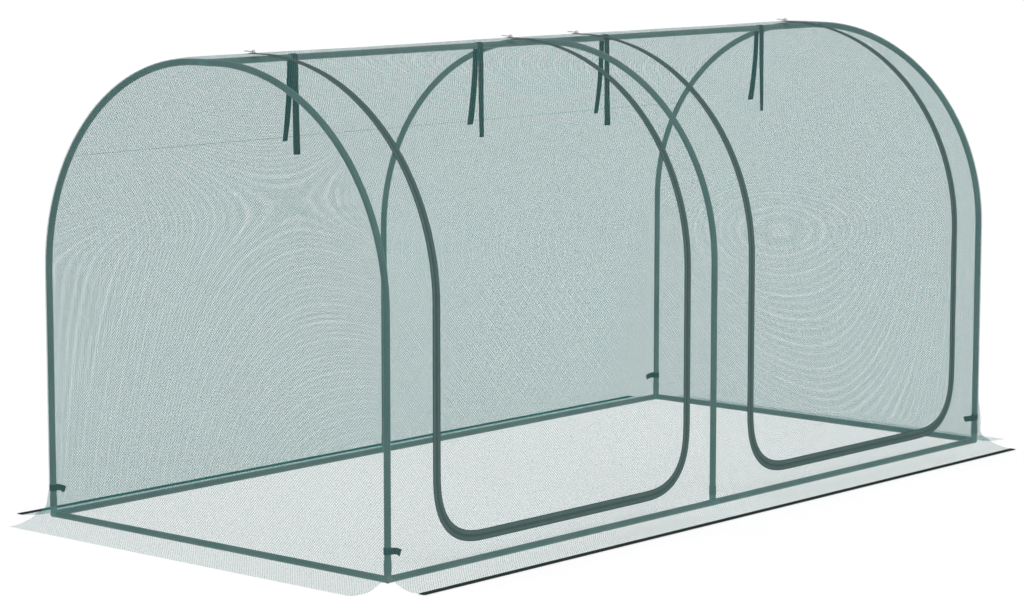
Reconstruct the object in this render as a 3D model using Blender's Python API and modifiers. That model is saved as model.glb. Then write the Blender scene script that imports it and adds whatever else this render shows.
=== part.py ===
"""Netting crop cage: a tunnel of bent tube under a sewn cover of fine net with two zipped doors.

Metres, +Z up. The origin is the middle of the footprint, on the ground. The long side runs along X, from
the near end at -X to the far end at +X, and the doors are in the front, at -Y. Every piece hangs on one
empty at the middle of the tube frame, which stands a little off the middle of the skirts.
"""
from math import cos, pi, radians, sin, sqrt

import bmesh
import bpy
from mathutils import Matrix, Vector

# Tube frame, measured between tube centres. CROWN is half the flat at the top of a hoop
BAY = 1.192
FRAME_WIDTH = 1.138
LEG = 0.606
CROWN = 0.035
TUBE = 0.016
TUBE_WALL = 0.0008
FOOT_SWELL = 1.12
FOOT_SWELL_LENGTH = 0.026
FOOT_SWELL_TAPER = 0.004

# Fittings: a short body outside, and a spigot inside each tube end
FITTING = 0.0166
CORNER_BALL = 0.0178
FITTING_ARM = 0.019
FITTING_NOSE = 0.010
SPIGOT_LENGTH = 0.022

# Net cover. The frame stands COVER_PULL from the middle of the skirts along X and along Y
NET = 0.0012
NET_STANDOFF = 0.0115
COVER_PULL = 0.020
END_SKIRT = 0.123
SIDE_SKIRT = 0.1145
SKIRT_ROWS = (0.3, 0.65, 1.0)
FLARE_RADIUS = 0.040
NOTCH_DEPTH = 0.026
FLAP_REACH = 0.012
BACK_SEAM_TURN = 58.4
HEM_WIDTH = 0.020
TAPE = 0.001
TAPE_SEAT = 0.0002

# Doors and their zips. DOOR_MARGIN is left of a bay on each side of its door, DOOR_PULL moves each door
# towards the middle hoop, and COVER_SLIP moves both towards the far end. A lower corner is a superellipse:
# CORNER_POWER 2 would make it a circle, and more makes it squarer
DOOR_MARGIN = 0.1375
DOOR_PULL = 0.0065
COVER_SLIP = 0.007
DOOR_SILL = 0.067
DOOR_CORNER = 0.170
CORNER_POWER = 2.7
ZIP_WIDTH = 0.026
ZIP_SLOT = 0.002
ZIP_END = 0.012
DOOR_FOLD_TURNS = (0.0, 24.0, 48.0, 72.0)
LOWER_FOLDS = 2
FOLD_GAP = 0.0005
BAND_SHY = 0.0003

# Zip sliders and their pull tabs. TAB_AXLE is how high a tab turns over the slider's seat, and TAB_DROP is
# how many degrees it dips as it lies back
SLIDER_LENGTH = 0.0125
SLIDER_WIDTH = 0.0095
SLIDER_HEIGHT = 0.0022
SLIDER_NARROW = 0.62
SLIDER_SHOULDER = 0.35
SLIDER_ROUND = 0.0004
BRIDGE_HEIGHT = 0.0062
BRIDGE_SPAN = 0.0088
BRIDGE_WIRE = 0.0016
BRIDGE_BEND = 0.0022
TAB_LENGTH = 0.030
TAB_WIDTH = 0.0080
TAB_CORNER = 0.0022
TAB = 0.0012
TAB_EYE = 0.0095
TAB_EYE_CORNER = 0.0007
TAB_RIM = 0.0016
TAB_AXLE = 0.0050
TAB_DROP = 4.0

# Ribbons tied over the ridge tube, by their distance from the near, the middle and the far hoop
RIBBON_FROM_NEAR = 0.280
RIBBON_FROM_MIDDLE = (-0.249, 0.252)
RIBBON_FROM_FAR = 0.260
RIBBON_WIDTH = 0.0195
RIBBON = 0.0008
RIBBON_FRONT_TAIL = 0.240
RIBBON_BACK_TAIL = 0.202
RIBBON_FRONT_LEAN = 0.003
RIBBON_BACK_LEAN = 0.0195
RIBBON_LOOP_STEPS = 6

# Ties round the feet of the four corner legs: TIE_TURNS are where the loop starts and ends
TIE_HEIGHT = 0.075
TIE_WIDTH = 0.0155
TIE = 0.0012
TIE_TURNS = (150.0, 450.0)
TIE_LOOP_STEPS = 10
TIE_TAIL = 0.044
TIE_DROOP_NEAR = 0.0095
TIE_DROOP_FAR = 0.001

# Clearance that touching pieces keep, and the facets of round shapes
GAP = 0.0003
TURN_STEP = 6.0
TUBE_TURN_STEP = 7.5
TUBE_SIDES = 10
FITTING_SIDES = 14
BALL_RINGS = 8
CORNER_STEPS = 6
FLARE_STEPS = 5

# Places that follow from the sizes above, measured from the middle of the frame on the ground
HALF_WIDTH = FRAME_WIDTH / 2
BEND_RADIUS = HALF_WIDTH - CROWN
RAIL_Z = CORNER_BALL / 2
LEG_TOP = RAIL_Z + LEG
RIDGE_Z = LEG_TOP + BEND_RADIUS
NET_BEND = BEND_RADIUS + NET_STANDOFF
NET_TOP = LEG_TOP + NET_BEND
NET_SIDE = HALF_WIDTH + NET_STANDOFF
NET_END = BAY + NET_STANDOFF
DOOR_WIDTH = BAY - 2 * DOOR_MARGIN
DOOR_SPREAD = BAY / 2 - DOOR_PULL
RIBBON_PLACES = (-BAY + RIBBON_FROM_NEAR, *RIBBON_FROM_MIDDLE, BAY - RIBBON_FROM_FAR)
FLARE_TOP = FLARE_RADIUS + NET / 2
TAPE_LIFT = NET / 2 + GAP + TAPE / 2
SLIDER_LIFT = NET / 2 + GAP + TAPE + GAP

COLLECTION = bpy.data.collections.new("crop_cage")


def clear_scene():
    """Removes whatever the file starts with, and links the part's collection."""
    for ob in list(bpy.data.objects):
        bpy.data.objects.remove(ob, do_unlink=True)
    bpy.context.scene.collection.children.link(COLLECTION)


def make_material(name, colour, roughness, metallic=0.0):
    """A Principled material of one colour."""
    material = bpy.data.materials.new(name)
    material.use_nodes = True
    shader = material.node_tree.nodes["Principled BSDF"]
    shader.inputs["Base Color"].default_value = (*colour, 1.0)
    shader.inputs["Roughness"].default_value = roughness
    shader.inputs["Metallic"].default_value = metallic
    return material


def add_object(name, data, material, parent, place=(0.0, 0.0, 0.0)):
    """Links an object for the data under the parent, at a place measured from it."""
    ob = bpy.data.objects.new(name, data)
    if not data.materials:
        data.materials.append(material)
    COLLECTION.objects.link(ob)
    ob.parent = parent
    ob.location = place
    return ob


def add_empty(name, parent=None, place=(0.0, 0.0, 0.0)):
    """An empty that carries other pieces."""
    empty = bpy.data.objects.new(name, None)
    COLLECTION.objects.link(empty)
    empty.parent = parent
    empty.location = place
    return empty


def shade_round(mesh, angle=40.0):
    """Smooth shading with the edges sharper than the angle kept."""
    mesh.shade_smooth()
    mesh.set_sharp_from_angle(angle=radians(angle))


def evaluated_copy(ob):
    """The object's mesh with its modifiers applied, in the object's own space."""
    bpy.context.view_layer.update()
    graph = bpy.context.evaluated_depsgraph_get()
    return bpy.data.meshes.new_from_object(ob.evaluated_get(graph), depsgraph=graph)


def weld(mesh, distance=0.00002):
    """Joins doubled points, such as those of a curve's caps."""
    work = bmesh.new()
    work.from_mesh(mesh)
    bmesh.ops.remove_doubles(work, verts=work.verts, dist=distance)
    work.to_mesh(mesh)
    work.free()


def freeze(ob):
    """Turns a curve or a modified object into a plain mesh object with the same name and place."""
    mesh = evaluated_copy(ob)
    weld(mesh)
    name = ob.name
    parent = ob.parent
    place = ob.location.copy()
    turn = ob.rotation_euler.copy()
    material = ob.data.materials[0]
    bpy.data.objects.remove(ob, do_unlink=True)
    solid = add_object(name, mesh, material, parent, place)
    solid.rotation_euler = turn
    mesh.name = name
    return solid


def unite(ob, others):
    """Joins the other solids to ob by Boolean unions, and applies them."""
    for other in others:
        union = ob.modifiers.new("join_" + other.name, "BOOLEAN")
        union.operation = "UNION"
        union.solver = "EXACT"
        union.object = other
    solid = freeze(ob)
    for other in others:
        bpy.data.objects.remove(other, do_unlink=True)
    return solid


def sheet(name, columns, rows, place, thickness, material, parent, keep=None):
    """A thin sheet: an open grid whose points are laid out by place(column, row), then thickened.

    keep(column, row) says whether the cell above that point is there, for a sheet with openings.
    """
    mesh = bpy.data.meshes.new(name)
    work = bmesh.new()
    bmesh.ops.create_grid(work, x_segments=columns - 1, y_segments=rows - 1, size=1.0)
    spot = {}
    for point in work.verts:
        column = round((point.co.x + 1.0) / 2.0 * (columns - 1))
        row = round((point.co.y + 1.0) / 2.0 * (rows - 1))
        spot[point] = (column, row)
    if keep is not None:
        corners = {face: [spot[point] for point in face.verts] for face in work.faces}
        gone = [face for face, cell in corners.items()
                if not keep(min(c for c, r in cell), min(r for c, r in cell))]
        bmesh.ops.delete(work, geom=gone, context="FACES")
    for point in work.verts:
        point.co = place(*spot[point])
    work.to_mesh(mesh)
    work.free()
    ob = add_object(name, mesh, material, parent)
    shade_round(mesh)
    solidify = ob.modifiers.new("thickness", "SOLIDIFY")
    solidify.thickness = thickness
    solidify.offset = 0.0
    solidify.use_even_offset = True
    return ob


def sweep(name, outline, rows, place, material, parent):
    """A solid made by carrying a closed outline along rows. place(point, row) lays out each point."""
    mesh = bpy.data.meshes.new(name)
    work = bmesh.new()
    face = work.faces.new([work.verts.new(place(point, rows[0])) for point in outline])
    for last, row in zip(rows, rows[1:]):
        owner = [(Vector(place(point, last)), point) for point in outline]
        made = bmesh.ops.extrude_face_region(work, geom=[face])["geom"]
        if last is not rows[0]:
            bmesh.ops.delete(work, geom=[face], context="FACES_ONLY")
        face = next(item for item in made if isinstance(item, bmesh.types.BMFace))
        for corner in face.verts:
            point = min(owner, key=lambda pair: (pair[0] - corner.co).length)[1]
            corner.co = place(point, row)
    bmesh.ops.recalc_face_normals(work, faces=work.faces)
    work.to_mesh(mesh)
    work.free()
    ob = add_object(name, mesh, material, parent)
    shade_round(mesh)
    return ob


def tube(name, points, material, parent, swells=None):
    """A hollow tube along the points. swells gives a factor on the radius at some of them."""
    curve = bpy.data.curves.new(name, "CURVE")
    curve.dimensions = "3D"
    curve.bevel_depth = TUBE / 2
    curve.bevel_resolution = TUBE_SIDES // 2 - 2
    curve.use_fill_caps = False
    spline = curve.splines.new("POLY")
    spline.points.add(len(points) - 1)
    for index, (knot, point) in enumerate(zip(spline.points, points)):
        knot.co = (*point, 1.0)
        knot.radius = (swells or {}).get(index, 1.0)
    spline.use_smooth = True
    ob = add_object(name, curve, material, parent)
    wall = ob.modifiers.new("wall", "SOLIDIFY")
    wall.thickness = TUBE_WALL
    wall.offset = -1.0
    return ob


def rod(name, points, diameter, material, parent, resolution=1):
    """A solid wire along the points, as a mesh with welded caps."""
    curve = bpy.data.curves.new(name, "CURVE")
    curve.dimensions = "3D"
    curve.bevel_depth = diameter / 2
    curve.bevel_resolution = resolution
    curve.use_fill_caps = True
    spline = curve.splines.new("POLY")
    spline.points.add(len(points) - 1)
    for knot, point in zip(spline.points, points):
        knot.co = (*point, 1.0)
    return freeze(add_object(name, curve, material, parent))


def plate(name, outlines, thickness, material, parent):
    """A flat plate between closed outlines, with an outline inside another cut out of it."""
    curve = bpy.data.curves.new(name, "CURVE")
    curve.dimensions = "2D"
    curve.fill_mode = "BOTH"
    curve.extrude = thickness / 2
    for outline in outlines:
        spline = curve.splines.new("POLY")
        spline.points.add(len(outline) - 1)
        for knot, point in zip(spline.points, outline):
            knot.co = (*point, 0.0, 1.0)
        spline.use_cyclic_u = True
    return freeze(add_object(name, curve, material, parent))


def rounded_box(length, width, radius, steps=4, middle=(0.0, 0.0)):
    """Outline of a rectangle with round corners: length along X, width along Y."""
    points = []
    for quarter, (sx, sy) in enumerate(((1, 1), (-1, 1), (-1, -1), (1, -1))):
        for step in range(steps + 1):
            angle = pi / 2 * (quarter + step / steps)
            points.append((middle[0] + sx * (length / 2 - radius) + radius * cos(angle),
                           middle[1] + sy * (width / 2 - radius) + radius * sin(angle)))
    return points


def arc_turns(start, end, step=TURN_STEP):
    """The turns from start to end in degrees, with every whole step between them."""
    low, high = sorted((start, end))
    inner = [step * k for k in range(int(360 / step)) if low + 0.01 < step * k < high - 0.01]
    turns = [low, *inner, high]
    return turns if start < end else turns[::-1]


def bend_point(side, turn, offset):
    """A point (y, z) on a hoop's bend. turn is 0 at the crown and 90 at the top of the leg."""
    radius = BEND_RADIUS + offset
    angle = radians(turn)
    return side * (CROWN + radius * sin(angle)), LEG_TOP + radius * cos(angle)


def flare_rows(wall, outer):
    """The skirt's rows, from the top of the flare out to the edge.

    wall and outer are the distances of the wall and of the skirt's edge. Each row is a distance, a height,
    and how far along the row is from the wall (0) to the edge (1).
    """
    rows = []
    for step in range(FLARE_STEPS + 1):
        angle = pi / 2 * step / FLARE_STEPS
        rows.append((wall + FLARE_RADIUS * (1 - cos(angle)), NET / 2 + FLARE_RADIUS * (1 - sin(angle))))
    first = rows[-1][0]
    for share in SKIRT_ROWS:
        rows.append((first + (outer - first) * share, NET / 2))
    return [(reach, height, (reach - wall) / (outer - wall)) for reach, height in rows]


def flap_edge(wall_edge, outer_edge, share):
    """Where a skirt's side edge runs: in from the corner under the notch, then out to the flap's tip."""
    straight = wall_edge + (outer_edge - wall_edge) * share
    inward = NOTCH_DEPTH * sin(pi * sqrt(share))
    return straight - inward if wall_edge > 0 else straight + inward


def turned_arm(name, direction, through, material, parent, place):
    """One arm of a fitting: a body with a spigot, or a body that runs through with a spigot at each end."""
    body = FITTING / 2
    spigot = (TUBE / 2 - TUBE_WALL) * cos(pi / TUBE_SIDES) - GAP
    end = FITTING_ARM + SPIGOT_LENGTH
    profile = [(0.0, end), (spigot, end), (spigot, FITTING_ARM), (body, FITTING_ARM)]
    if through:
        profile += [(radius, -height) for radius, height in profile[::-1]]
    else:
        profile += [(body, body), (FITTING_NOSE / 2, 0.0), (0.0, 0.0)]
    mesh = bpy.data.meshes.new(name)
    work = bmesh.new()
    chain = [work.verts.new((radius, 0.0, height)) for radius, height in profile]
    edges = [work.edges.new(pair) for pair in zip(chain, chain[1:])]
    bmesh.ops.spin(work, geom=chain + edges, axis=(0, 0, 1), cent=(0, 0, 0), angle=2 * pi,
                   steps=FITTING_SIDES, use_merge=True)
    bmesh.ops.remove_doubles(work, verts=work.verts, dist=0.00001)
    bmesh.ops.recalc_face_normals(work, faces=work.faces)
    share_of_facet = 0.5 * abs(direction[0]) + 0.27 * abs(direction[1])
    roll = Matrix.Rotation(2 * pi / FITTING_SIDES * share_of_facet, 3, "Z")
    turn = Vector((0, 0, 1)).rotation_difference(Vector(direction)).to_matrix()
    bmesh.ops.rotate(work, verts=work.verts, cent=(0, 0, 0), matrix=turn @ roll)
    work.to_mesh(mesh)
    work.free()
    return add_object(name, mesh, material, parent, place)


def fitting(name, arms, through, material, parent, place, ball=False):
    """A tube fitting: single arms, arms that run right through, and a ball where three tubes meet."""
    solids = []
    for direction in through + arms:
        label = name + "_arm_" + str(len(solids)) if solids else name
        solids.append(turned_arm(label, direction, direction in through, material, parent, place))
    if ball:
        mesh = bpy.data.meshes.new(name + "_ball")
        work = bmesh.new()
        bmesh.ops.create_uvsphere(work, u_segments=FITTING_SIDES, v_segments=BALL_RINGS,
                                  radius=CORNER_BALL / 2)
        work.to_mesh(mesh)
        work.free()
        solids.append(add_object(name + "_ball", mesh, material, parent, place))
    joined = unite(solids[0], solids[1:])
    shade_round(joined.data)
    return joined


def build_frame(frame, steel, plastic):
    """Hoops, ridge, rails and the fittings that join them."""
    start = FITTING_ARM + GAP
    hoops = {"near": -BAY, "middle": 0.0, "far": BAY}
    for hoop, x in hoops.items():
        for side_name, side in (("front", -1), ("back", 1)):
            points = [(x, side * HALF_WIDTH, RAIL_Z + start + height)
                      for height in (0.0, FOOT_SWELL_LENGTH - FOOT_SWELL_TAPER, FOOT_SWELL_LENGTH)]
            for turn in arc_turns(90.0, 0.0, TUBE_TURN_STEP):
                points.append((x, *bend_point(side, turn, 0.0)))
            points.append((x, side * start, RIDGE_Z))
            tube(hoop + "_hoop_" + side_name + "_half", points, steel, frame,
                 {0: FOOT_SWELL, 1: FOOT_SWELL})
    for bay_name, middle in (("near", -BAY / 2), ("far", BAY / 2)):
        half = BAY / 2 - start
        for name, y, z in (("ridge_tube_" + bay_name, 0.0, RIDGE_Z),
                           ("front_rail_" + bay_name, -HALF_WIDTH, RAIL_Z),
                           ("back_rail_" + bay_name, HALF_WIDTH, RAIL_Z)):
            tube(name, [(middle - half, y, z), (middle + half, y, z)], steel, frame)
    for end_name, x in (("near", -BAY), ("far", BAY)):
        reach = HALF_WIDTH - start
        tube(end_name + "_end_rail", [(x, -reach, RAIL_Z), (x, reach, RAIL_Z)], steel, frame)
    along = {"near": (1, 0, 0), "far": (-1, 0, 0)}
    across = {"front": (0, 1, 0), "back": (0, -1, 0)}
    sides = {"front": -HALF_WIDTH, "back": HALF_WIDTH}
    for end_name, x in (("near", -BAY), ("far", BAY)):
        for side_name, y in sides.items():
            fitting(end_name + "_" + side_name + "_corner_fitting",
                    [(0, 0, 1), along[end_name], across[side_name]], [], plastic, frame, (x, y, RAIL_Z),
                    True)
        fitting(end_name + "_ridge_tee", [along[end_name]], [(0, 1, 0)], plastic, frame,
                (x, 0.0, RIDGE_Z))
    fitting("middle_ridge_cross", [], [(0, 1, 0), (1, 0, 0)], plastic, frame, (0.0, 0.0, RIDGE_Z))
    for side_name, y in sides.items():
        fitting(side_name + "_foot_tee", [(0, 0, 1)], [(1, 0, 0)], plastic, frame, (0.0, y, RAIL_Z))


def door_half_width(height, inward):
    """Half the door's width at a height, on a line that runs inward of the zip's middle line."""
    radius = DOOR_CORNER - inward
    below = DOOR_SILL + DOOR_CORNER - height
    half = DOOR_WIDTH / 2 - inward
    if below <= 0:
        return half
    share = min(1.0, below / radius)
    return half - radius + radius * (1 - share ** CORNER_POWER) ** (1 / CORNER_POWER)


def corner_heights(inward):
    """Heights of the rows through a door's lower corners, from the straight side to the sill."""
    radius = DOOR_CORNER - inward
    return [DOOR_SILL + DOOR_CORNER - radius * sin(pi / 2 * step / CORNER_STEPS) ** (2 / CORNER_POWER)
            for step in range(CORNER_STEPS + 1)]


def door_middles():
    """X of the middle of the near and the far door, from the middle hoop."""
    return {"near": COVER_SLIP - DOOR_SPREAD, "far": COVER_SLIP + DOOR_SPREAD}


def build_nets(frame, net):
    """The sewn panels of the cover, which keep a fine gap at their seams."""
    edge = NET_END + NET / 2
    front_outer = HALF_WIDTH + TUBE / 2 + SIDE_SKIRT
    end_outer = BAY + TUBE / 2 + END_SKIRT
    flap = BAY + FLAP_REACH

    def skirt(side):
        return [(side * reach, height, share)
                for reach, height, share in flare_rows(NET_SIDE, front_outer + side * -COVER_PULL)]

    def side_edges(share):
        return flap_edge(-edge, -flap - COVER_PULL, share), flap_edge(edge, flap - COVER_PULL, share)

    outside = -ZIP_SLOT / 2
    rows = [(*bend_point(-1, turn, NET_STANDOFF), None) for turn in arc_turns(0.0, 90.0)]
    rows += [(-NET_SIDE, height, None) for height in corner_heights(outside)]
    rows += skirt(-1)
    sill_row = len(arc_turns(0.0, 90.0)) + CORNER_STEPS

    def front_place(column, row):
        y, z, share = rows[row]
        if column in (0, 5):
            near, far = side_edges(share or 0.0)
            return Vector((near if column == 0 else far, y, z))
        half = door_half_width(max(z, DOOR_SILL + outside), outside)
        middle = door_middles()["near" if column < 3 else "far"]
        return Vector((middle + (half if column in (2, 4) else -half), y, z))

    sheet("front_net", 6, len(rows), front_place, NET, net, frame,
          lambda column, row: column in (0, 2, 4) or row >= sill_row)

    seam_gap = GAP / NET_BEND * 180 / pi
    roof = [(-CROWN + GAP, NET_TOP)]
    roof += [bend_point(1, turn, NET_STANDOFF) for turn in arc_turns(0.0, BACK_SEAM_TURN - seam_gap)]
    sheet("roof_net", 2, len(roof), lambda column, row: Vector(((2 * column - 1) * edge, *roof[row])), NET,
          net, frame)

    back = [(*bend_point(1, turn, NET_STANDOFF), 0.0) for turn in arc_turns(BACK_SEAM_TURN, 90.0)]
    back += skirt(1)
    sheet("back_net", 2, len(back),
          lambda column, row: Vector((side_edges(back[row][2])[column], *back[row][:2])), NET, net, frame)

    inner = NET_STANDOFF - NET / 2 - GAP
    for end_name, side in (("near", -1), ("far", 1)):
        ends = [(side * NET_END, *bend_point(1, turn, inner), 0.0) for turn in arc_turns(0.0, 90.0)]
        ends += [(side * reach, HALF_WIDTH + inner, height, share)
                 for reach, height, share in flare_rows(NET_END, end_outer + side * -COVER_PULL)]

        def end_place(column, row, ends=ends):
            x, y, z, share = ends[row]
            if z < FLARE_TOP:
                tip = HALF_WIDTH + FLAP_REACH
                y = (flap_edge(-y, -tip - COVER_PULL, share) if column == 0
                     else flap_edge(y, tip - COVER_PULL, share))
                return Vector((x, y, z))
            return Vector((x, y if column else -y, z))

        sheet(end_name + "_end_net", 2, len(ends), end_place, NET, net, frame)


def build_hems(frame, tape):
    """Dark tape on the outer edge of the front and the back skirt."""
    reach = BAY + FLAP_REACH - 2 * GAP
    for side_name, side in (("front", -1), ("back", 1)):
        outer = side * (HALF_WIDTH + TUBE / 2 + SIDE_SKIRT) - COVER_PULL
        lift = NET + GAP + TAPE / 2

        def hem_place(column, row, outer=outer, side=side, lift=lift):
            return Vector(((2 * column - 1) * reach - COVER_PULL, outer - side * HEM_WIDTH * row, lift))

        sheet(side_name + "_hem_tape", 2, 2, hem_place, TAPE, tape, frame)


def zip_path(inward):
    """The door's U line (x, y, z) from the ridge down one side, along the sill and up, from its middle."""
    top = [(-door_half_width(1.0, inward), ZIP_END, NET_TOP),
           (-door_half_width(1.0, inward), -CROWN + FOLD_GAP, NET_TOP)]
    down = [(-door_half_width(1.0, inward), *bend_point(-1, turn, NET_STANDOFF))
            for turn in arc_turns(0.0, 90.0)]
    corner = [(-door_half_width(height, inward), -NET_SIDE, height) for height in corner_heights(inward)]
    left = top + down + corner
    return left + [(-x, y, z) for x, y, z in left[::-1]]


def lifted(point, lift):
    """Moves a point of the cover's front outward, square to the cover, by lift."""
    x, y, z = point
    if z <= LEG_TOP:
        return Vector((x, y - lift, z))
    if y >= -CROWN:
        return Vector((x, y, z + lift))
    away = Vector((y + CROWN, z - LEG_TOP)).normalized() * lift
    return Vector((x, y + away.x, z + away.y))


def build_zip_tapes(frame, tape):
    """The half of each door's zip tape that stays on the cover, whole where it crosses the ridge."""
    outer = zip_path(-ZIP_WIDTH / 2)
    inner = zip_path(-ZIP_SLOT / 2 - GAP)
    crossing = 2
    last = len(outer) - crossing
    for index in (*range(crossing), *range(last, len(outer))):
        x, y, z = outer[index]
        width = -ZIP_WIDTH if x > 0 else ZIP_WIDTH
        inner[index] = (x + width, y, z)
    for door_name, middle in door_middles().items():
        shift = Vector((middle, 0.0, 0.0))

        def tape_place(column, row, shift=shift):
            return shift + lifted((outer, inner)[column][row], TAPE_LIFT)

        sheet(door_name + "_door_zip_tape", 2, len(outer), tape_place, TAPE, tape, frame)


def fold_points():
    """Lines across a door where its panels fold: (y, z) on the net, top to bottom, then the sill."""
    folds = [bend_point(-1, turn, NET_STANDOFF) for turn in DOOR_FOLD_TURNS]
    bend_left = radians(90.0 - DOOR_FOLD_TURNS[-1]) * NET_BEND
    panel = (bend_left + LEG_TOP - DOOR_SILL) / (LOWER_FOLDS + 1)
    folds += [(-NET_SIDE, LEG_TOP + bend_left - panel * (k + 1)) for k in range(LOWER_FOLDS)]
    return folds


def panel_rows(number, half_gap):
    """Rows (y, z) of a door panel, half_gap short of the fold at its top and of the one at its bottom."""
    folds = fold_points()
    turn_gap = half_gap / NET_BEND * 180 / pi
    turns = DOOR_FOLD_TURNS
    rows = []
    if number < len(turns):
        last = turns[number + 1] - turn_gap if number + 1 < len(turns) else 90.0
        rows += [bend_point(-1, turn, NET_STANDOFF) for turn in arc_turns(turns[number] + turn_gap, last)]
    else:
        rows.append((-NET_SIDE, folds[number][1] - half_gap))
    if number + 1 >= len(turns) and number + 1 < len(folds):
        rows.append((-NET_SIDE, folds[number + 1][1] + half_gap))
    return rows


def banded_panel(name, number, centre, net, parent):
    """A door panel with zip tape along both sides, swept down from its top fold. centre is its axis."""
    near = DOOR_WIDTH / 2 - ZIP_SLOT / 2
    far = DOOR_WIDTH / 2 - ZIP_WIDTH / 2
    outline = [(near, -NET / 2), (near, NET / 2 + TAPE), (far, NET / 2 + TAPE), (far, NET / 2)]
    outline += [(-across, lift) for across, lift in outline[::-1]]

    def place(point, row):
        return lifted((point[0], *row), point[1]) - centre

    return sweep(name, outline, panel_rows(number, FOLD_GAP / 2), place, net, parent)


def sill_panel(name, number, centre, net, tape, parent):
    """The lowest door panel, with round corners and zip tape round its sides and sill."""
    rows = panel_rows(number, FOLD_GAP / 2) + [(-NET_SIDE, z) for z in corner_heights(ZIP_SLOT / 2)]

    def net_place(column, row):
        y, z = rows[row]
        return Vector(((2 * column - 1) * door_half_width(z, ZIP_SLOT / 2), y, z)) - centre

    edges = []
    for inward in (ZIP_SLOT / 2 + GAP, ZIP_WIDTH / 2):
        heights = [z for _, z in panel_rows(number, FOLD_GAP / 2 + BAND_SHY)] + corner_heights(inward)
        left = [(-door_half_width(z, inward), -NET_SIDE, z) for z in heights]
        edges.append(left + [(-x, y, z) for x, y, z in left[::-1]])
    band_lift = NET / 2 + (TAPE - TAPE_SEAT) / 2

    def band_place(column, row):
        return lifted(edges[column][row], band_lift) - centre

    panel = sheet(name, 2, len(rows), net_place, NET, net, parent)
    band = sheet(name + "_band", 2, len(edges[0]), band_place, TAPE + TAPE_SEAT, tape, parent)
    return unite(panel, [band])


def build_doors(frame, net, tape):
    """Each door flap as panels that fold on each other, with the zip tape's other half on their edges."""
    folds = fold_points()
    for door_name, middle in door_middles().items():
        for number, fold in enumerate(folds):
            name = door_name + "_door_panel_" + str(number + 1)
            folds_inward = number % 2 == 0
            centre = lifted((0.0, *fold), -NET / 2 if folds_inward else NET / 2 + TAPE)
            if number + 1 < len(folds):
                panel = banded_panel(name, number, centre, net, frame)
            else:
                panel = sill_panel(name, number, centre, net, tape, frame)
            panel.location = Vector((middle, 0.0, 0.0)) + centre


def build_sliders(frame, metal):
    """Four zip sliders with a bridge, and a pull tab whose eye turns under each bridge."""
    number = 0
    for door_name, middle in door_middles().items():
        for side in (-1, 1):
            number += 1
            x = middle + side * DOOR_WIDTH / 2
            joint = add_empty("zip_slider_" + str(number) + "_joint", frame, (x, -CROWN, LEG_TOP))
            base = NET_BEND + SLIDER_LIFT
            wide = SLIDER_WIDTH / 2
            narrow = wide * SLIDER_NARROW
            nose = SLIDER_LENGTH / 2
            outline = [(narrow, -nose), (wide, -nose * SLIDER_NARROW), (wide, nose * SLIDER_SHOULDER),
                       (narrow, nose)]
            outline += [(-across, along) for across, along in outline[::-1]]
            name = "zip_slider_" + str(number)
            body = plate(name, [outline], SLIDER_HEIGHT, metal, joint)
            body.location = (0.0, CROWN, base + SLIDER_HEIGHT / 2)
            bevel = body.modifiers.new("round", "BEVEL")
            bevel.width = SLIDER_ROUND
            bevel.segments = 1
            bevel.limit_method = "ANGLE"
            foot = BRIDGE_SPAN / 2
            rise = SLIDER_HEIGHT / 2 + BRIDGE_HEIGHT
            rounding = BRIDGE_BEND * (1 - cos(pi / 4))
            bridge = [(0.0, -foot, 0.0), (0.0, -foot, rise - BRIDGE_BEND),
                      (0.0, -foot + rounding, rise - rounding), (0.0, -foot + BRIDGE_BEND, rise)]
            bridge += [(0.0, -along, height) for _, along, height in bridge[::-1]]
            loop = rod(name + "_bridge", bridge, BRIDGE_WIRE, metal, joint)
            loop.location = body.location
            solid = unite(freeze(body), [loop])
            shade_round(solid.data)

            tab_name = "pull_tab_" + str(number)
            pivot = TAB_RIM / 2
            outer = rounded_box(TAB_WIDTH, TAB_LENGTH, TAB_CORNER, 3, (0.0, TAB_LENGTH / 2 - pivot))
            eye = rounded_box(TAB_WIDTH - 2 * TAB_RIM, TAB_EYE, TAB_EYE_CORNER, 2,
                              (0.0, TAB_RIM + TAB_EYE / 2 - pivot))
            tab = plate(tab_name, [outer, eye], TAB, metal, joint)
            tab.location = (0.0, CROWN, base + TAB_AXLE)
            tab.rotation_euler = (-radians(TAB_DROP), 0.0, 0.0)
            shade_round(tab.data)


def build_ribbons(frame, tape):
    """Ribbons looped over the ridge tube, with a long front tail and a shorter back tail."""
    around = TUBE / 2 + GAP + RIBBON / 2
    front = [(-around - RIBBON_FRONT_LEAN * (1 - share) ** 2, TUBE / 2 + RIBBON_FRONT_TAIL * (share - 1))
             for share in (0.0, 0.35, 0.7)]
    turns = [pi * step / RIBBON_LOOP_STEPS for step in range(RIBBON_LOOP_STEPS + 1)]
    loop = [(-around * cos(turn), around * sin(turn)) for turn in turns]
    back = [(around + RIBBON_BACK_LEAN * share ** 2, TUBE / 2 - RIBBON_BACK_TAIL * share)
            for share in (0.3, 0.6, 0.85, 1.0)]
    path = front + loop + back
    for number, x in enumerate(RIBBON_PLACES):

        def ribbon_place(column, row, x=x):
            y, z = path[row]
            return Vector((x + (column - 0.5) * RIBBON_WIDTH, y, RIDGE_Z + z))

        sheet("tie_ribbon_" + str(number + 1), 2, len(path), ribbon_place, RIBBON, tape, frame)


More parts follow.
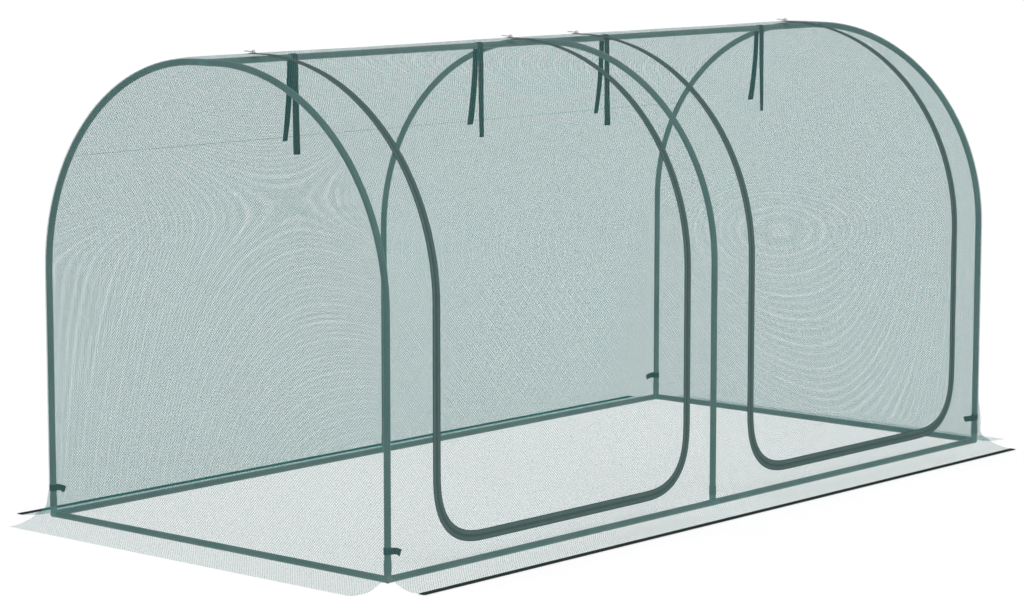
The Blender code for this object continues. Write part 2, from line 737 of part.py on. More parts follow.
def build_corner_ties(frame, tape):
    """Short ties that loop a corner leg and end in a tail along the wall, towards the middle."""
    around = TUBE / 2 + GAP + TIE / 2
    first, last = TIE_TURNS
    for end_name, end, droop in (("near", -1, TIE_DROOP_NEAR), ("far", 1, TIE_DROOP_FAR)):
        for side_name, side in (("front", -1), ("back", 1)):
            path = []
            for step in range(TIE_LOOP_STEPS + 1):
                angle = radians(first + (last - first) * step / TIE_LOOP_STEPS)
                path.append((around * cos(angle), around * sin(angle), 0.0))
            for share in (0.35, 0.7, 1.0):
                path.append((-TIE_TAIL * share, around, -droop * share ** 2))

            def tie_place(column, row, path=path, end=end, side=side):
                x, y, z = path[row]
                return Vector((end * (BAY + x), side * (HALF_WIDTH + y),
                               TIE_HEIGHT + z + (column - 0.5) * TIE_WIDTH))

            sheet(end_name + "_" + side_name + "_corner_tie", 2, len(path), tie_place, TIE, tape, frame)


def main():
    """Builds the whole cage."""
    clear_scene()
    steel = make_material("green_tube", (0.080, 0.165, 0.145), 0.42, 0.1)
    plastic = make_material("green_fitting", (0.095, 0.175, 0.160), 0.50)
    net = make_material("green_net", (0.480, 0.600, 0.580), 0.80)
    tape = make_material("dark_tape", (0.045, 0.090, 0.082), 0.85)
    metal = make_material("zip_metal", (0.640, 0.680, 0.670), 0.35, 0.8)
    frame = add_empty("frame_middle", None, (COVER_PULL, COVER_PULL, 0.0))
    build_frame(frame, steel, plastic)
    build_nets(frame, net)
    build_hems(frame, tape)
    build_zip_tapes(frame, tape)
    build_doors(frame, net, tape)
    build_sliders(frame, metal)
    build_ribbons(frame, tape)
    build_corner_ties(frame, tape)
    bpy.context.view_layer.update()


main()
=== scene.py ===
"""Dresses a netting crop cage: coated tube, knitted net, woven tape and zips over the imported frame.

Metres, +Z up. The long side runs along X and the two doors are in the front, at -Y. A place on the cover is
given by x and by a tape-measure coordinate s, which is 0 over the ridge, grows down the front and is
negative down the back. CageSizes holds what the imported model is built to, measured from the middle of the
tube frame, which stands a little off the middle of the skirts.
"""
import logging
from dataclasses import dataclass, field
from enum import Enum
from math import ceil, cos, dist, pi, radians, sin, sqrt
from typing import Iterable, NamedTuple, Sequence

import bmesh
import bpy
from mathutils import Matrix, Vector

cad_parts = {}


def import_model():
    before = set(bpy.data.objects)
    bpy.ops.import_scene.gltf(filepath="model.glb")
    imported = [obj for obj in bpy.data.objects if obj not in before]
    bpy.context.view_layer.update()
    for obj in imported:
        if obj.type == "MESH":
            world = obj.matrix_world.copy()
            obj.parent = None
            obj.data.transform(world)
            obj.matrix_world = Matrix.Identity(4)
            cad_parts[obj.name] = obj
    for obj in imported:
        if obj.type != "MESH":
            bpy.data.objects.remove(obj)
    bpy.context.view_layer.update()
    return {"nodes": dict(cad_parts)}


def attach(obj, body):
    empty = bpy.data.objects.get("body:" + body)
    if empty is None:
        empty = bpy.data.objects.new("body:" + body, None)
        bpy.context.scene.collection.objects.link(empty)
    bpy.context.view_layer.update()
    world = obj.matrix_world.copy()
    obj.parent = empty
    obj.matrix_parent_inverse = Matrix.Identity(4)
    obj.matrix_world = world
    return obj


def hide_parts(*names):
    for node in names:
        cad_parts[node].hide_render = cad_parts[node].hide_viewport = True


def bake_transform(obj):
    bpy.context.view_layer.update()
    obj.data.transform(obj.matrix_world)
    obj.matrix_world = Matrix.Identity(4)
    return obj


LOG = logging.getLogger("crop_cage")
SAME = 1e-6

Flat = tuple[float, float]
Corner = tuple[Vector, Flat]
Colour = tuple[float, float, float]
Socket = bpy.types.NodeSocket


class Side(Enum):
    """The long sides of the cage, by the sign of their Y."""

    FRONT = -1
    BACK = 1


class End(Enum):
    """The ends of the cage, by the sign of their X."""

    NEAR = -1
    FAR = 1


class Door(Enum):
    """The two doors, by the sign of their X."""

    NEAR = -1
    FAR = 1


@dataclass(frozen=True)
class CageSizes:
    """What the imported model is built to, in metres from the middle of the frame on the ground."""

    bay: float = 1.192
    half_width: float = 0.569
    crown: float = 0.035
    bend_radius: float = 0.534
    rail_z: float = 0.0089
    leg_top: float = 0.6149
    tube: float = 0.016
    fitting_reach: float = 0.0193
    foot_swell: float = 1.12
    foot_swell_even: float = 0.022
    foot_swell_length: float = 0.026
    standoff: float = 0.0115
    net: float = 0.0012
    pull: float = 0.020
    side_skirt: float = 0.1225
    end_skirt: float = 0.131
    flare: float = 0.040
    flap: float = 0.012
    sewn: float = 0.029
    ruck: float = 0.0045
    ruck_run: float = 0.045
    tip_round: float = 0.014
    hug: float = 0.0096
    hug_run: float = 0.030
    back_seam_turn: float = 58.4
    hem: float = 0.020
    door_spread: float = 0.5895
    door_slip: float = 0.007
    door_width: float = 0.917
    door_sill: float = 0.067
    door_corner: float = 0.170
    corner_power: float = 2.7
    zip_width: float = 0.026
    zip_end: float = 0.012
    opening_length: float = 1.405
    folds: tuple[float, ...] = (0.035, 0.2635, 0.4920, 0.7205, 0.9603, 1.2000)

    @property
    def ridge_z(self) -> float:
        """Height of the ridge tube's middle."""
        return self.leg_top + self.bend_radius

    def world(self, x: float, y: float, z: float) -> Vector:
        """A point measured from the middle of the frame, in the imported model's frame.

        Args:
            x: Along the cage.
            y: Across it.
            z: Height above the ground.

        Returns:
            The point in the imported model's frame.
        """
        return Vector((x + self.pull, y + self.pull, z))


def held(share: float) -> float:
    """A share, held between 0 and 1."""
    return max(0.0, min(1.0, share))


def smooth(share: float) -> float:
    """A step from 0 to 1 that starts and ends gently, as the share goes from 0 to 1."""
    return held(share) * held(share) * (3 - 2 * held(share))


def spread(start: float, stop: float, count: int) -> list[float]:
    """The ends of equal steps from start to stop, both included."""
    return [start + (stop - start) * step / count for step in range(count + 1)]


def runs(line: Sequence[Sequence[float]]) -> list[float]:
    """How far along a line each of its points lies.

    Args:
        line: Its points.

    Returns:
        The length of the line up to each of them.
    """
    found = [0.0]
    for before, after in zip(line, line[1:]):
        found.append(found[-1] + dist(before, after))
    return found


@dataclass(frozen=True)
class SkirtEdge:
    """A skirt's side edge at a corner of the cage, measured beyond the middle of the corner's leg.

    The two skirts of a corner are sewn together along the middle between them as far as joint, where they
    part. From there the edge runs to its tip in soft waves.
    """

    joint: float
    start: float
    tip: float
    waves: tuple[float, ...]
    lap: float = 0.0006

    def at(self, reach: float, outer: float) -> float:
        """Where the edge lies along the skirt.

        Args:
            reach: How far beyond the middle of the leg the skirt has come, away from its wall.
            outer: That distance at the skirt's outer edge.

        Returns:
            How far beyond the middle of the leg the edge lies, along the skirt.
        """
        if reach <= self.joint:
            return max(self.start, min(reach + self.lap, self.joint))
        first = max(self.start, self.joint)
        share = min(1.0, (reach - self.joint) / (outer - self.joint))
        return first + (self.tip - first) * share + sum(
            height * sin(pi * (number + 1) * share) for number, height in enumerate(self.waves))


@dataclass(frozen=True)
class Cover:
    """The cover's outline across the cage, and where a place on the unrolled cloth lies on it.

    A cloth begins to lie tight round an end hoop at the grip's first height, and is tight after its second.
    """

    size: CageSizes = CageSizes()
    near_grip: Flat = (0.028, 0.050)
    far_grip: Flat = (0.060, 0.080)
    open_waves: tuple[float, ...] = (0.0002, -0.0080, -0.0026)
    drawn_in_waves: tuple[float, ...] = (-0.0027, 0.0042)
    drawn_out_wave: float = -0.008

    @property
    def bend(self) -> float:
        """Radius of the net over a hoop's bend."""
        return self.size.bend_radius + self.size.standoff

    @property
    def eaves(self) -> float:
        """s where the bend ends and the wall begins."""
        return self.size.crown + self.bend * pi / 2

    @property
    def ankle(self) -> float:
        """s where the wall ends and the flare into the skirt begins."""
        return self.eaves + self.size.leg_top - self.size.flare - self.size.net / 2

    @property
    def ground(self) -> float:
        """s where the flare ends and the skirt lies flat."""
        return self.ankle + self.size.flare * pi / 2

    @property
    def wall(self) -> float:
        """Distance of the wall from the middle of the frame."""
        return self.size.half_width + self.size.standoff

    def outer(self, side: Side) -> float:
        """Distance of a skirt's outer edge from the middle of the frame."""
        return self.size.half_width + self.size.side_skirt - side.value * self.size.pull

    def hem_line(self, side: Side) -> float:
        """s of a skirt's outer edge, without its sign."""
        return self.ground + self.outer(side) - self.wall - self.size.flare

    def section(self, s: float) -> tuple[float, float, float, float]:
        """The cover's outline at s.

        Args:
            s: Place down the cloth, 0 or more, on either side.

        Returns:
            The distance from the middle, the height, and the two parts of the outward normal.
        """
        size = self.size
        if s <= size.crown:
            return s, size.leg_top + self.bend, 0.0, 1.0
        if s <= self.eaves:
            turn = (s - size.crown) / self.bend
            out, up = sin(turn), cos(turn)
            return size.crown + self.bend * out, size.leg_top + self.bend * up, out, up
        if s <= self.ankle:
            return self.wall, size.leg_top - (s - self.eaves), 1.0, 0.0
        turn = min((s - self.ankle) / size.flare, pi / 2)
        reach = self.wall + size.flare * (1 - cos(turn)) + max(0.0, s - self.ground)
        return reach, size.net / 2 + size.flare * (1 - sin(turn)), cos(turn), sin(turn)

    def place(self, x: float, s: float, lift: float = 0.0) -> Vector:
        """Where a place on the unrolled cloth lies.

        Args:
            x: Along the cage.
            s: Down the cloth from the ridge, negative down the back.
            lift: How far the point stands off the cloth, outward.

        Returns:
            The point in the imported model's frame.
        """
        reach, z, out, up = self.section(abs(s))
        sign = -1.0 if s >= 0 else 1.0
        return self.size.world(x, sign * (reach + out * lift), z + up * lift)

    def hugged(self, beyond: float, corner: float, grip: float, lift: float = 0.0) -> tuple[float, float]:
        """Pulls a cloth that passes an end hoop in against the tube, and round it to the corner seam.

        Args:
            beyond: How far the place on the flat cloth lies beyond the middle of the tube.
            corner: Where the corner seam lies, measured the same way.
            grip: From 0 for a cloth that is left flat to 1 for one pulled tight.
            lift: How far the point stands off the cloth.

        Returns:
            How far beyond the middle of the tube the point comes to lie, and its distance from that middle
            across the cloth.
        """
        flat = self.size.standoff + lift
        tight = self.size.hug + lift
        turn = held(beyond / corner) * pi / 4
        along = tight * sin(turn) if beyond > 0 else beyond
        off = tight * cos(turn) + (flat - tight) * (1 - smooth(1.0 + beyond / self.size.hug_run))
        return beyond + (along - beyond) * grip, flat + (off - flat) * grip

    def grip(self, z: float, end: End) -> float:
        """How tight the cloth lies round an end hoop: loose only over the foot, and sooner at the far end.

        Args:
            z: Height above the ground.
            end: Which hoop.

        Returns:
            From 0 for loose to 1 for tight.
        """
        start, run = self.near_grip if end is End.NEAR else self.far_grip
        return smooth((z - start) / run)

    def edge(self, end: End, side: Side, of_end: bool) -> SkirtEdge:
        """The side edge of a skirt at one of the cage's corners.

        Args:
            end: The corner's end.
            side: The corner's side.
            of_end: Whether it is the end cloth's edge, and not the front or the back cloth's.

        Returns:
            The edge. Only at the near front corner do the skirts part right at the leg.
        """
        size = self.size
        drawn_out = side is Side.FRONT if of_end else end is End.NEAR
        tip = size.flap + (size.pull if drawn_out else -size.pull)
        start = size.standoff + size.net / 2
        if end is End.NEAR and side is Side.FRONT:
            return SkirtEdge(size.standoff, start, tip, self.open_waves)
        if tip < 0:
            return SkirtEdge(size.sewn, start, tip, self.drawn_in_waves)
        return SkirtEdge(size.sewn, start, tip, (self.drawn_out_wave if of_end else 0.0,))

    def ruck(self, end: End, side: Side, along: float, across: float) -> float:
        """How far the skirts stand up round the point where they part at a sewn corner.

        Args:
            end: The corner's end.
            side: The corner's side.
            along: How far beyond the middle of the leg the place lies, along X.
            across: The same along Y.

        Returns:
            The height above the plain flare.
        """
        if end is End.NEAR and side is Side.FRONT:
            return 0.0
        sewn = self.size.sewn
        lift = self.size.ruck * smooth(1 - dist((along, across), (sewn, sewn)) / self.size.ruck_run)
        return lift * smooth(along / sewn) * smooth(across / sewn)

    def ends(self, s: float, side: Side) -> tuple[float, float]:
        """X of the edges of the front or back cloth.

        Args:
            s: Place down the cloth.
            side: Which of the two cloths.

        Returns:
            The near edge and the far edge.
        """
        reach = self.section(abs(s))[0] - self.size.half_width
        outer = self.outer(side) - self.size.half_width
        near, far = (self.size.bay + self.edge(end, side, False).at(reach, outer) for end in End)
        return -near, far

    def rows(self, start: float, stop: float, step: float = 0.03, flare_step: float = 0.008) -> list[float]:
        """Rows down the cloth, closer together round the flare.

        Args:
            start: The first row's s.
            stop: The last row's s, larger than start.
            step: The widest gap between rows.
            flare_step: The widest gap round the flare.

        Returns:
            The rows' places, with one at each change of the outline.
        """
        marks = [start]
        for mark in (self.size.crown, self.eaves, self.ankle, self.ground, stop):
            if marks[-1] + SAME < mark <= stop + SAME:
                gap = flare_step if mark == self.ground else step
                marks += spread(marks[-1], mark, max(1, ceil((mark - marks[-1]) / gap)))[1:]
        return marks


class Station(NamedTuple):
    """A place on a zip's middle line: x and s, the outward normal's parts, and the length down it."""

    x: float
    s: float
    out_x: float
    out_s: float
    along: float


@dataclass(frozen=True)
class DoorPlan:
    """A door's shape on the unrolled cloth: straight sides, round lower corners and a sill."""

    door: Door
    cover: Cover = Cover()

    @property
    def word(self) -> str:
        """The door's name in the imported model."""
        return self.door.name.lower()

    @property
    def middle(self) -> float:
        """X of the door's middle line."""
        return self.cover.size.door_slip + self.door.value * self.cover.size.door_spread

    @property
    def sill(self) -> float:
        """s of the zip's middle line along the sill."""
        return self.cover.eaves + self.cover.size.leg_top - self.cover.size.door_sill

    @property
    def corner(self) -> float:
        """s where the straight sides end and the round corners begin."""
        return self.sill - self.cover.size.door_corner

    def half(self, s: float, inward: float) -> float:
        """Half the door's width.

        Args:
            s: Place down the cloth, no further than the line's own sill.
            inward: How far inside the zip's middle line the half width is wanted.

        Returns:
            Half the width there.
        """
        radius = self.cover.size.door_corner - inward
        half = self.cover.size.door_width / 2 - inward
        below = held((s - self.corner) / radius)
        power = self.cover.size.corner_power
        return half - radius + radius * (1 - below ** power) ** (1 / power)

    def corner_rows(self, inward: float, steps: int = 12) -> list[float]:
        """Rows through the round corners, from the straight sides to the sill.

        Args:
            inward: How far inside the zip's middle line the rows are wanted.
            steps: How many gaps they leave.

        Returns:
            The rows' places.
        """
        radius = self.cover.size.door_corner - inward
        power = 2 / self.cover.size.corner_power
        return [self.corner + radius * sin(turn) ** power for turn in spread(0.0, pi / 2, steps)]

    def side_stations(self, rows: Iterable[float], hand: int) -> list[Station]:
        """Stations of the zip's middle line along a straight side, on one hand of the door."""
        x = self.middle + hand * self.cover.size.door_width / 2
        return [Station(x, s, float(hand), 0.0, s) for s in rows]

    def stations(self, start: float, stop: float, hand: int, step: float = 0.02, turn_steps: int = 18,
                 sill_steps: int = 8) -> list[Station]:
        """Stations down one side of the zip's middle line.

        Args:
            start: The first station's s.
            stop: The last station's s. Past the corner it runs to the middle of the sill.
            hand: -1 for the side towards the near end, 1 for the other.
            step: The widest gap along the straight side.
            turn_steps: How many gaps the round corner has.
            sill_steps: How many gaps half the sill has.

        Returns:
            The stations.
        """
        found = self.side_stations(self.cover.rows(start, min(stop, self.corner), step), hand)
        if stop <= self.corner + SAME:
            return found
        radius, power = self.cover.size.door_corner, self.cover.size.corner_power
        straight = self.cover.size.door_width / 2 - radius
        length = self.corner
        for turn in spread(0.0, pi / 2, turn_steps)[1:]:
            out, down = max(0.0, cos(turn)) ** (2 / power), sin(turn) ** (2 / power)
            x, s = self.middle + hand * (straight + radius * out), self.corner + radius * down
            length += dist((x, s), (found[-1].x, found[-1].s))
            normal = Vector((hand * out ** (power - 1), down ** (power - 1))).normalized()
            found.append(Station(x, s, normal.x, normal.y, length))
        for run in spread(0.0, straight, sill_steps)[1:]:
            found.append(Station(self.middle + hand * (straight - run), self.sill, 0.0, 1.0, length + run))
        return found


class Graph:
    """Builds one node material by short calls."""

    def __init__(self, name: str) -> None:
        """Starts a material.

        Args:
            name: The material's name.
        """
        self.material = bpy.data.materials.new(name)
        self.material.use_nodes = True
        self.tree = self.material.node_tree
        self.shader = self.tree.nodes["Principled BSDF"]

    def put(self, socket: Socket, value: object) -> None:
        """Links a socket to another, or sets its value.

        Args:
            socket: The input.
            value: An output socket, a number or a tuple.
        """
        if isinstance(value, Socket):
            self.tree.links.new(value, socket)
        elif isinstance(value, tuple) and len(value) == 3 and socket.type == "RGBA":
            socket.default_value = (*value, 1.0)
        else:
            socket.default_value = value

    def node(self, kind: str, inputs: Sequence[object] = (), **settings: object) -> bpy.types.Node:
        """Adds a node.

        Args:
            kind: The node's type without its ShaderNode prefix.
            inputs: Values or sockets for its first inputs. None leaves one as it is.
            **settings: The node's own properties.

        Returns:
            The node.
        """
        node = self.tree.nodes.new("ShaderNode" + kind)
        for key, value in settings.items():
            setattr(node, key, value)
        for socket, value in zip(node.inputs, inputs):
            if value is not None:
                self.put(socket, value)
        return node

    def math(self, operation: str, *values: object) -> Socket:
        """The output of a Math node."""
        return self.node("Math", values, operation=operation).outputs[0]

    def times(self, first: object, second: object) -> Socket:
        """One value multiplied by another."""
        return self.math("MULTIPLY", first, second)

    def plus(self, first: object, second: object) -> Socket:
        """The sum of two values."""
        return self.math("ADD", first, second)

    def minus(self, first: object, second: object) -> Socket:
        """One value less another."""
        return self.math("SUBTRACT", first, second)

    def most(self, first: object, second: object) -> Socket:
        """The larger of two values."""
        return self.math("MAXIMUM", first, second)

    def cloth(self) -> tuple[Socket, Socket, Socket]:
        """The flat cloth coordinates of a point.

        Returns:
            The place across the cloth, the place along it, and both as a vector.
        """
        vector = self.node("Attribute", attribute_type="GEOMETRY", attribute_name="cloth").outputs["Vector"]
        parts = self.node("SeparateXYZ", (vector,)).outputs
        return parts[0], parts[1], vector

    def object_place(self) -> Socket:
        """A point's place on its own object."""
        return self.node("TexCoord").outputs["Object"]

    def noise(self, vector: Socket, scale: float, detail: float = 2.0) -> Socket:
        """Noise from 0 to 1.

        Args:
            vector: Where it is read.
            scale: Its cycles per metre.
            detail: How many finer layers it has.

        Returns:
            The noise.
        """
        texture = self.node("TexNoise")
        self.put(texture.inputs["Vector"], vector)
        self.put(texture.inputs["Scale"], scale)
        self.put(texture.inputs["Detail"], detail)
        return texture.outputs[0]

    def band(self, value: object, low: float, high: float, start: float = 0.0, stop: float = 1.0) -> Socket:
        """A smooth step: start below low, stop above high."""
        ranged = self.node("MapRange", (value, low, high, start, stop), interpolation_type="SMOOTHSTEP")
        return ranged.outputs[0]

    def wave(self, value: object, pitch: float) -> Socket:
        """The distance from the middle of each repeat, from 0 to 0.5 of the pitch."""
        return self.math("ABSOLUTE", self.minus(self.math("FRACT", self.math("DIVIDE", value, pitch)), 0.5))

    def mix(self, factor: object, first: object, second: object) -> Socket:
        """A colour between two.

        Args:
            factor: From 0 for the first to 1 for the second.
            first: The first colour.
            second: The second colour.

        Returns:
            The colour.
        """
        node = self.node("Mix", data_type="RGBA")
        for name, value in (("Factor_Float", factor), ("A_Color", first), ("B_Color", second)):
            self.put(next(socket for socket in node.inputs if socket.identifier == name), value)
        return next(socket for socket in node.outputs if socket.identifier == "Result_Color")

    def bump(self, height: Socket, depth: float, strength: float = 1.0) -> None:
        """Drives the shader's normal by a height.

        Args:
            height: From 0 to 1.
            depth: What 1 stands for, in metres.
            strength: How much of it shows.
        """
        node = self.node("Bump")
        self.put(node.inputs["Strength"], strength)
        self.put(node.inputs["Distance"], depth)
        self.put(node.inputs["Height"], height)
        self.put(self.shader.inputs["Normal"], node.outputs[0])

    def surface(self, **values: object) -> bpy.types.Material:
        """Sets the shader's sockets.

        Args:
            **values: Each socket's value, with _ in its name for a space.

        Returns:
            The finished material.
        """
        for name, value in values.items():
            self.put(self.shader.inputs[name.replace("_", " ")], value)
        return self.material


@dataclass(frozen=True)
class PowderCoat:
    """Satin green powder coat on bent steel tube. Its scales are in cycles per metre."""

    dark: Colour = (0.068, 0.088, 0.083)
    light: Colour = (0.090, 0.112, 0.106)
    tone: float = 9.0
    dust: float = 60.0
    peel: float = 950.0
    peel_depth: float = 0.00012

    def make(self) -> bpy.types.Material:
        """The coat: fine orange peel, slow change of tone, and a little dust that dulls it.

        Returns:
            The material.
        """
        graph = Graph("green_powder_coat")
        place = graph.object_place()
        tone = graph.noise(place, self.tone, 3.0)
        dust = graph.band(graph.noise(place, self.dust, 4.0), 0.45, 0.75)
        graph.bump(graph.noise(place, self.peel, 2.0), self.peel_depth, 0.35)
        return graph.surface(Base_Color=graph.mix(graph.band(tone, 0.3, 0.7), self.dark, self.light),
                             Roughness=graph.band(dust, 0.0, 1.0, 0.34, 0.46), Metallic=0.0,
                             Specular_IOR_Level=0.35)


@dataclass(frozen=True)
class MouldedPlastic:
    """Green polypropylene of the fittings, with the fine grain of a spark-eroded mould."""

    dark: Colour = (0.070, 0.116, 0.109)
    light: Colour = (0.090, 0.146, 0.138)
    grain: float = 1500.0
    grain_depth: float = 0.0001
    flow: float = 45.0

    def make(self) -> bpy.types.Material:
        """The plastic: fine grain, flow marks near the gate, and dulled high spots.

        Returns:
            The material.
        """
        graph = Graph("green_moulded_plastic")
        place = graph.object_place()
        grain = graph.noise(place, self.grain, 3.0)
        flow = graph.noise(place, self.flow, 1.0)
        graph.bump(grain, self.grain_depth, 0.5)
        return graph.surface(Base_Color=graph.mix(graph.band(flow, 0.35, 0.65), self.dark, self.light),
                             Roughness=graph.band(grain, 0.3, 0.7, 0.42, 0.56), Metallic=0.0,
                             Specular_IOR_Level=0.45)


@dataclass(frozen=True)
class KnitNet:
    """Knitted polyethylene net: fine threads on both diagonals, and every third of them thick and knotted.

    Threads are given by their width, the thread's stray and its loops in metres.
    """

    name: str = "green_knit_net"
    pitch: float = 0.0053
    thread: float = 0.00072
    cross_thread: float = 0.00058
    fine_thread: float = 0.000185
    knot: float = 0.00065
    dark: Colour = (0.028, 0.178, 0.168)
    light: Colour = (0.046, 0.240, 0.231)
    fine_count: int = 3
    soft_edge: float = 0.25
    stray: float = 0.00025
    stray_scale: float = 130.0
    loop: float = 0.0016
    depth: float = 0.0004

    def make(self) -> bpy.types.Material:
        """The net, open between its threads by the shader's alpha.

        Returns:
            The material.
        """
        graph = Graph(self.name)
        across, down, vector = graph.cloth()
        stray = graph.times(graph.minus(graph.noise(vector, self.stray_scale, 1.0), 0.5), self.stray)
        fall = graph.plus(graph.plus(across, down), stray)
        rise = graph.plus(graph.minus(across, down), stray)
        diagonal = self.pitch * sqrt(2)
        first, second = graph.wave(fall, diagonal), graph.wave(rise, diagonal)
        fine = [graph.wave(line, diagonal / self.fine_count) for line in (fall, rise)]
        lines = (first, second, *fine)
        fine_edge = self.fine_thread / 2 / (self.pitch / self.fine_count)
        edges = (self.thread / 2 / self.pitch, self.cross_thread / 2 / self.pitch, fine_edge, fine_edge)
        covers = [graph.band(line, edge * (1 - self.soft_edge), edge * (1 + self.soft_edge), 1.0, 0.0)
                  for line, edge in zip(lines, edges)]
        crossing = graph.math("SQRT", graph.plus(graph.math("POWER", first, 2.0),
                                                 graph.math("POWER", second, 2.0)))
        size = self.knot / self.pitch
        knot = graph.band(crossing, size * (1 - self.soft_edge), size, 1.0, 0.0)
        cover = knot
        for run in covers:
            cover = graph.most(cover, run)
        crowns = [graph.band(line, 0.0, edge, 1.0, 0.0) for line, edge in zip(lines[:2], edges)]
        loops = graph.wave(graph.plus(fall, graph.times(rise, 0.6)), self.loop)
        height = graph.most(graph.most(*crowns), graph.times(knot, 1.3))
        height = graph.plus(height, graph.times(loops, 0.5))
        graph.bump(height, self.depth, 0.8)
        tone = graph.plus(graph.times(graph.noise(vector, 2.2, 3.0), 0.5),
                          graph.times(graph.noise(vector, 420.0, 2.0), 0.5))
        tone = graph.plus(graph.band(tone, 0.3, 0.7, 0.0, 0.75), graph.times(knot, 0.25))
        return graph.surface(Base_Color=graph.mix(tone, self.dark, self.light), Alpha=cover,
                             Roughness=graph.band(height, 0.0, 1.3, 0.80, 0.62), Metallic=0.0,
                             Specular_IOR_Level=0.12)


@dataclass(frozen=True)
class WovenTape:
    """Dark woven tape, read across its width and along its length."""

    name: str
    width: float
    middle: Colour
    edge: Colour
    thread: Colour
    stitch_lines: tuple[float, ...] = ()
    stitch: float = 0.0034
    stitch_width: float = 0.0006
    dots: float = 0.0
    rib: float = 0.0011
    depth: float = 0.00035
    stitch_core: float = 0.00035

    def dotted(self, graph: Graph, along: Socket, off: Socket) -> Socket:
        """The dots of thread along the selvedges, as a mask."""
        beat = graph.band(graph.wave(along, self.dots), 0.18, 0.30, 1.0, 0.0)
        return graph.times(beat, graph.band(off, self.width * 0.36, self.width * 0.40))

    def sewn(self, graph: Graph, along: Socket, off: Socket, line: float) -> Socket:
        """The stitches of one sewn line, as a mask.

        Args:
            graph: The material.
            along: The place along the tape.
            off: The distance from the tape's middle.
            line: That distance on the sewn line.

        Returns:
            1 on the thread and 0 beside it.
        """
        near = graph.math("ABSOLUTE", graph.minus(off, line))
        run = graph.band(near, self.stitch_core, self.stitch_width, 1.0, 0.0)
        return graph.times(run, graph.band(graph.wave(along, self.stitch), 0.32, 0.40, 1.0, 0.0))

    def make(self) -> bpy.types.Material:
        """The tape: chevron ribs with painted shade in the hollows between them and lighter crests, darker
        selvedges, sewn lines of thread, and dots along the edges.

        Returns:
            The material.
        """
        graph = Graph(self.name)
        across, along, vector = graph.cloth()
        off = graph.math("ABSOLUTE", across)
        ribs = graph.wave(graph.plus(along, off), self.rib)
        warp = graph.wave(across, self.rib * 0.8)
        height = graph.plus(graph.times(ribs, 1.0), graph.times(warp, 0.6))
        # Painted shade: the tone follows the rib height, so the hollows between ribs come out darker and
        # the crests lighter, over a random tone from noise.
        tone = graph.plus(graph.times(graph.noise(vector, 35.0, 3.0), 0.35), graph.times(height, 0.7))
        colour = graph.mix(graph.band(tone, 0.25, 0.75), tuple(0.80 * part for part in self.middle),
                           tuple(1.15 * part for part in self.middle))
        colour = graph.mix(graph.band(off, self.width * 0.34, self.width * 0.46), colour, self.edge)
        if self.dots:
            spot = self.dotted(graph, along, off)
            colour = graph.mix(spot, colour, self.thread)
            height = graph.plus(height, spot)
        for line in self.stitch_lines:
            sewn = self.sewn(graph, along, off, line)
            colour = graph.mix(sewn, colour, self.thread)
            height = graph.plus(height, graph.times(sewn, 1.4))
        graph.bump(height, self.depth, 0.9)
        return graph.surface(Base_Color=colour, Roughness=graph.band(height, 0.0, 1.0, 0.92, 0.74),
                             Metallic=0.0, Specular_IOR_Level=0.03)


@dataclass(frozen=True)
class ZipCoil:
    """Nylon coil of the zip, one tooth every turn."""

    tooth: float = 0.0021
    depth: float = 0.0007
    slant: float = 0.35
    # Painted shade in the gaps between the teeth.
    gap: Colour = (0.042, 0.066, 0.062)
    light: Colour = (0.108, 0.168, 0.158)

    def make(self) -> bpy.types.Material:
        """The coil: rounded teeth, lighter on their crests, with painted shade darkening the gaps between
        them.

        Returns:
            The material.
        """
        graph = Graph("zip_coil")
        across, along, vector = graph.cloth()
        slant = graph.plus(along, graph.times(across, self.slant))
        tooth = graph.band(graph.wave(slant, self.tooth), 0.08, 0.42, 1.0, 0.0)
        graph.bump(tooth, self.depth, 1.0)
        # Painted shade: the colour runs from the gap colour between the teeth to the lighter colour on each
        # tooth's crest, following the tooth's profile, with a random tone from noise.
        tone = graph.times(tooth, graph.band(graph.noise(vector, 200.0), 0.2, 0.8, 0.8, 1.0))
        return graph.surface(Base_Color=graph.mix(tone, self.gap, self.light),
                             Roughness=graph.band(tooth, 0.0, 1.0, 0.80, 0.55), Metallic=0.0,
                             Specular_IOR_Level=0.05)


@dataclass(frozen=True)
class CastZipMetal:
    """Plated die-cast zinc of the zip sliders and pulls."""

    dark: Colour = (0.22, 0.24, 0.24)
    light: Colour = (0.42, 0.44, 0.44)
    scratch: float = 700.0
    scratch_depth: float = 0.00008
    scratch_stretch: tuple[float, float, float] = (4.0, 1.0, 1.0)
    cloud: float = 140.0

    def make(self) -> bpy.types.Material:
        """The plating: tumbled, with fine scratches and dull hollows.

        Returns:
            The material.
        """
        graph = Graph("zip_cast_metal")
        place = graph.object_place()
        stretched = graph.node("Mapping")
        graph.put(stretched.inputs["Vector"], place)
        graph.put(stretched.inputs["Scale"], self.scratch_stretch)
        scratch = graph.noise(stretched.outputs[0], self.scratch, 4.0)
        cloud = graph.noise(place, self.cloud, 2.0)
        graph.bump(scratch, self.scratch_depth, 0.5)
        return graph.surface(Base_Color=graph.mix(graph.band(cloud, 0.3, 0.7), self.dark, self.light),
                             Roughness=graph.band(scratch, 0.3, 0.7, 0.26, 0.44), Metallic=0.85)


@dataclass(frozen=True)
class PaleFloor:
    """Plain pale studio floor."""

    dark: Colour = (0.908, 0.908, 0.908)
    light: Colour = (0.922, 0.922, 0.922)
    tone: float = 0.6

    def make(self) -> bpy.types.Material:
        """A matt paint with a hardly visible change of tone.

        Returns:
            The material.
        """
        graph = Graph("pale_floor")
        tone = graph.noise(graph.object_place(), self.tone, 2.0)
        return graph.surface(Base_Color=graph.mix(tone, self.dark, self.light), Roughness=0.9,
                             Specular_IOR_Level=0.0)


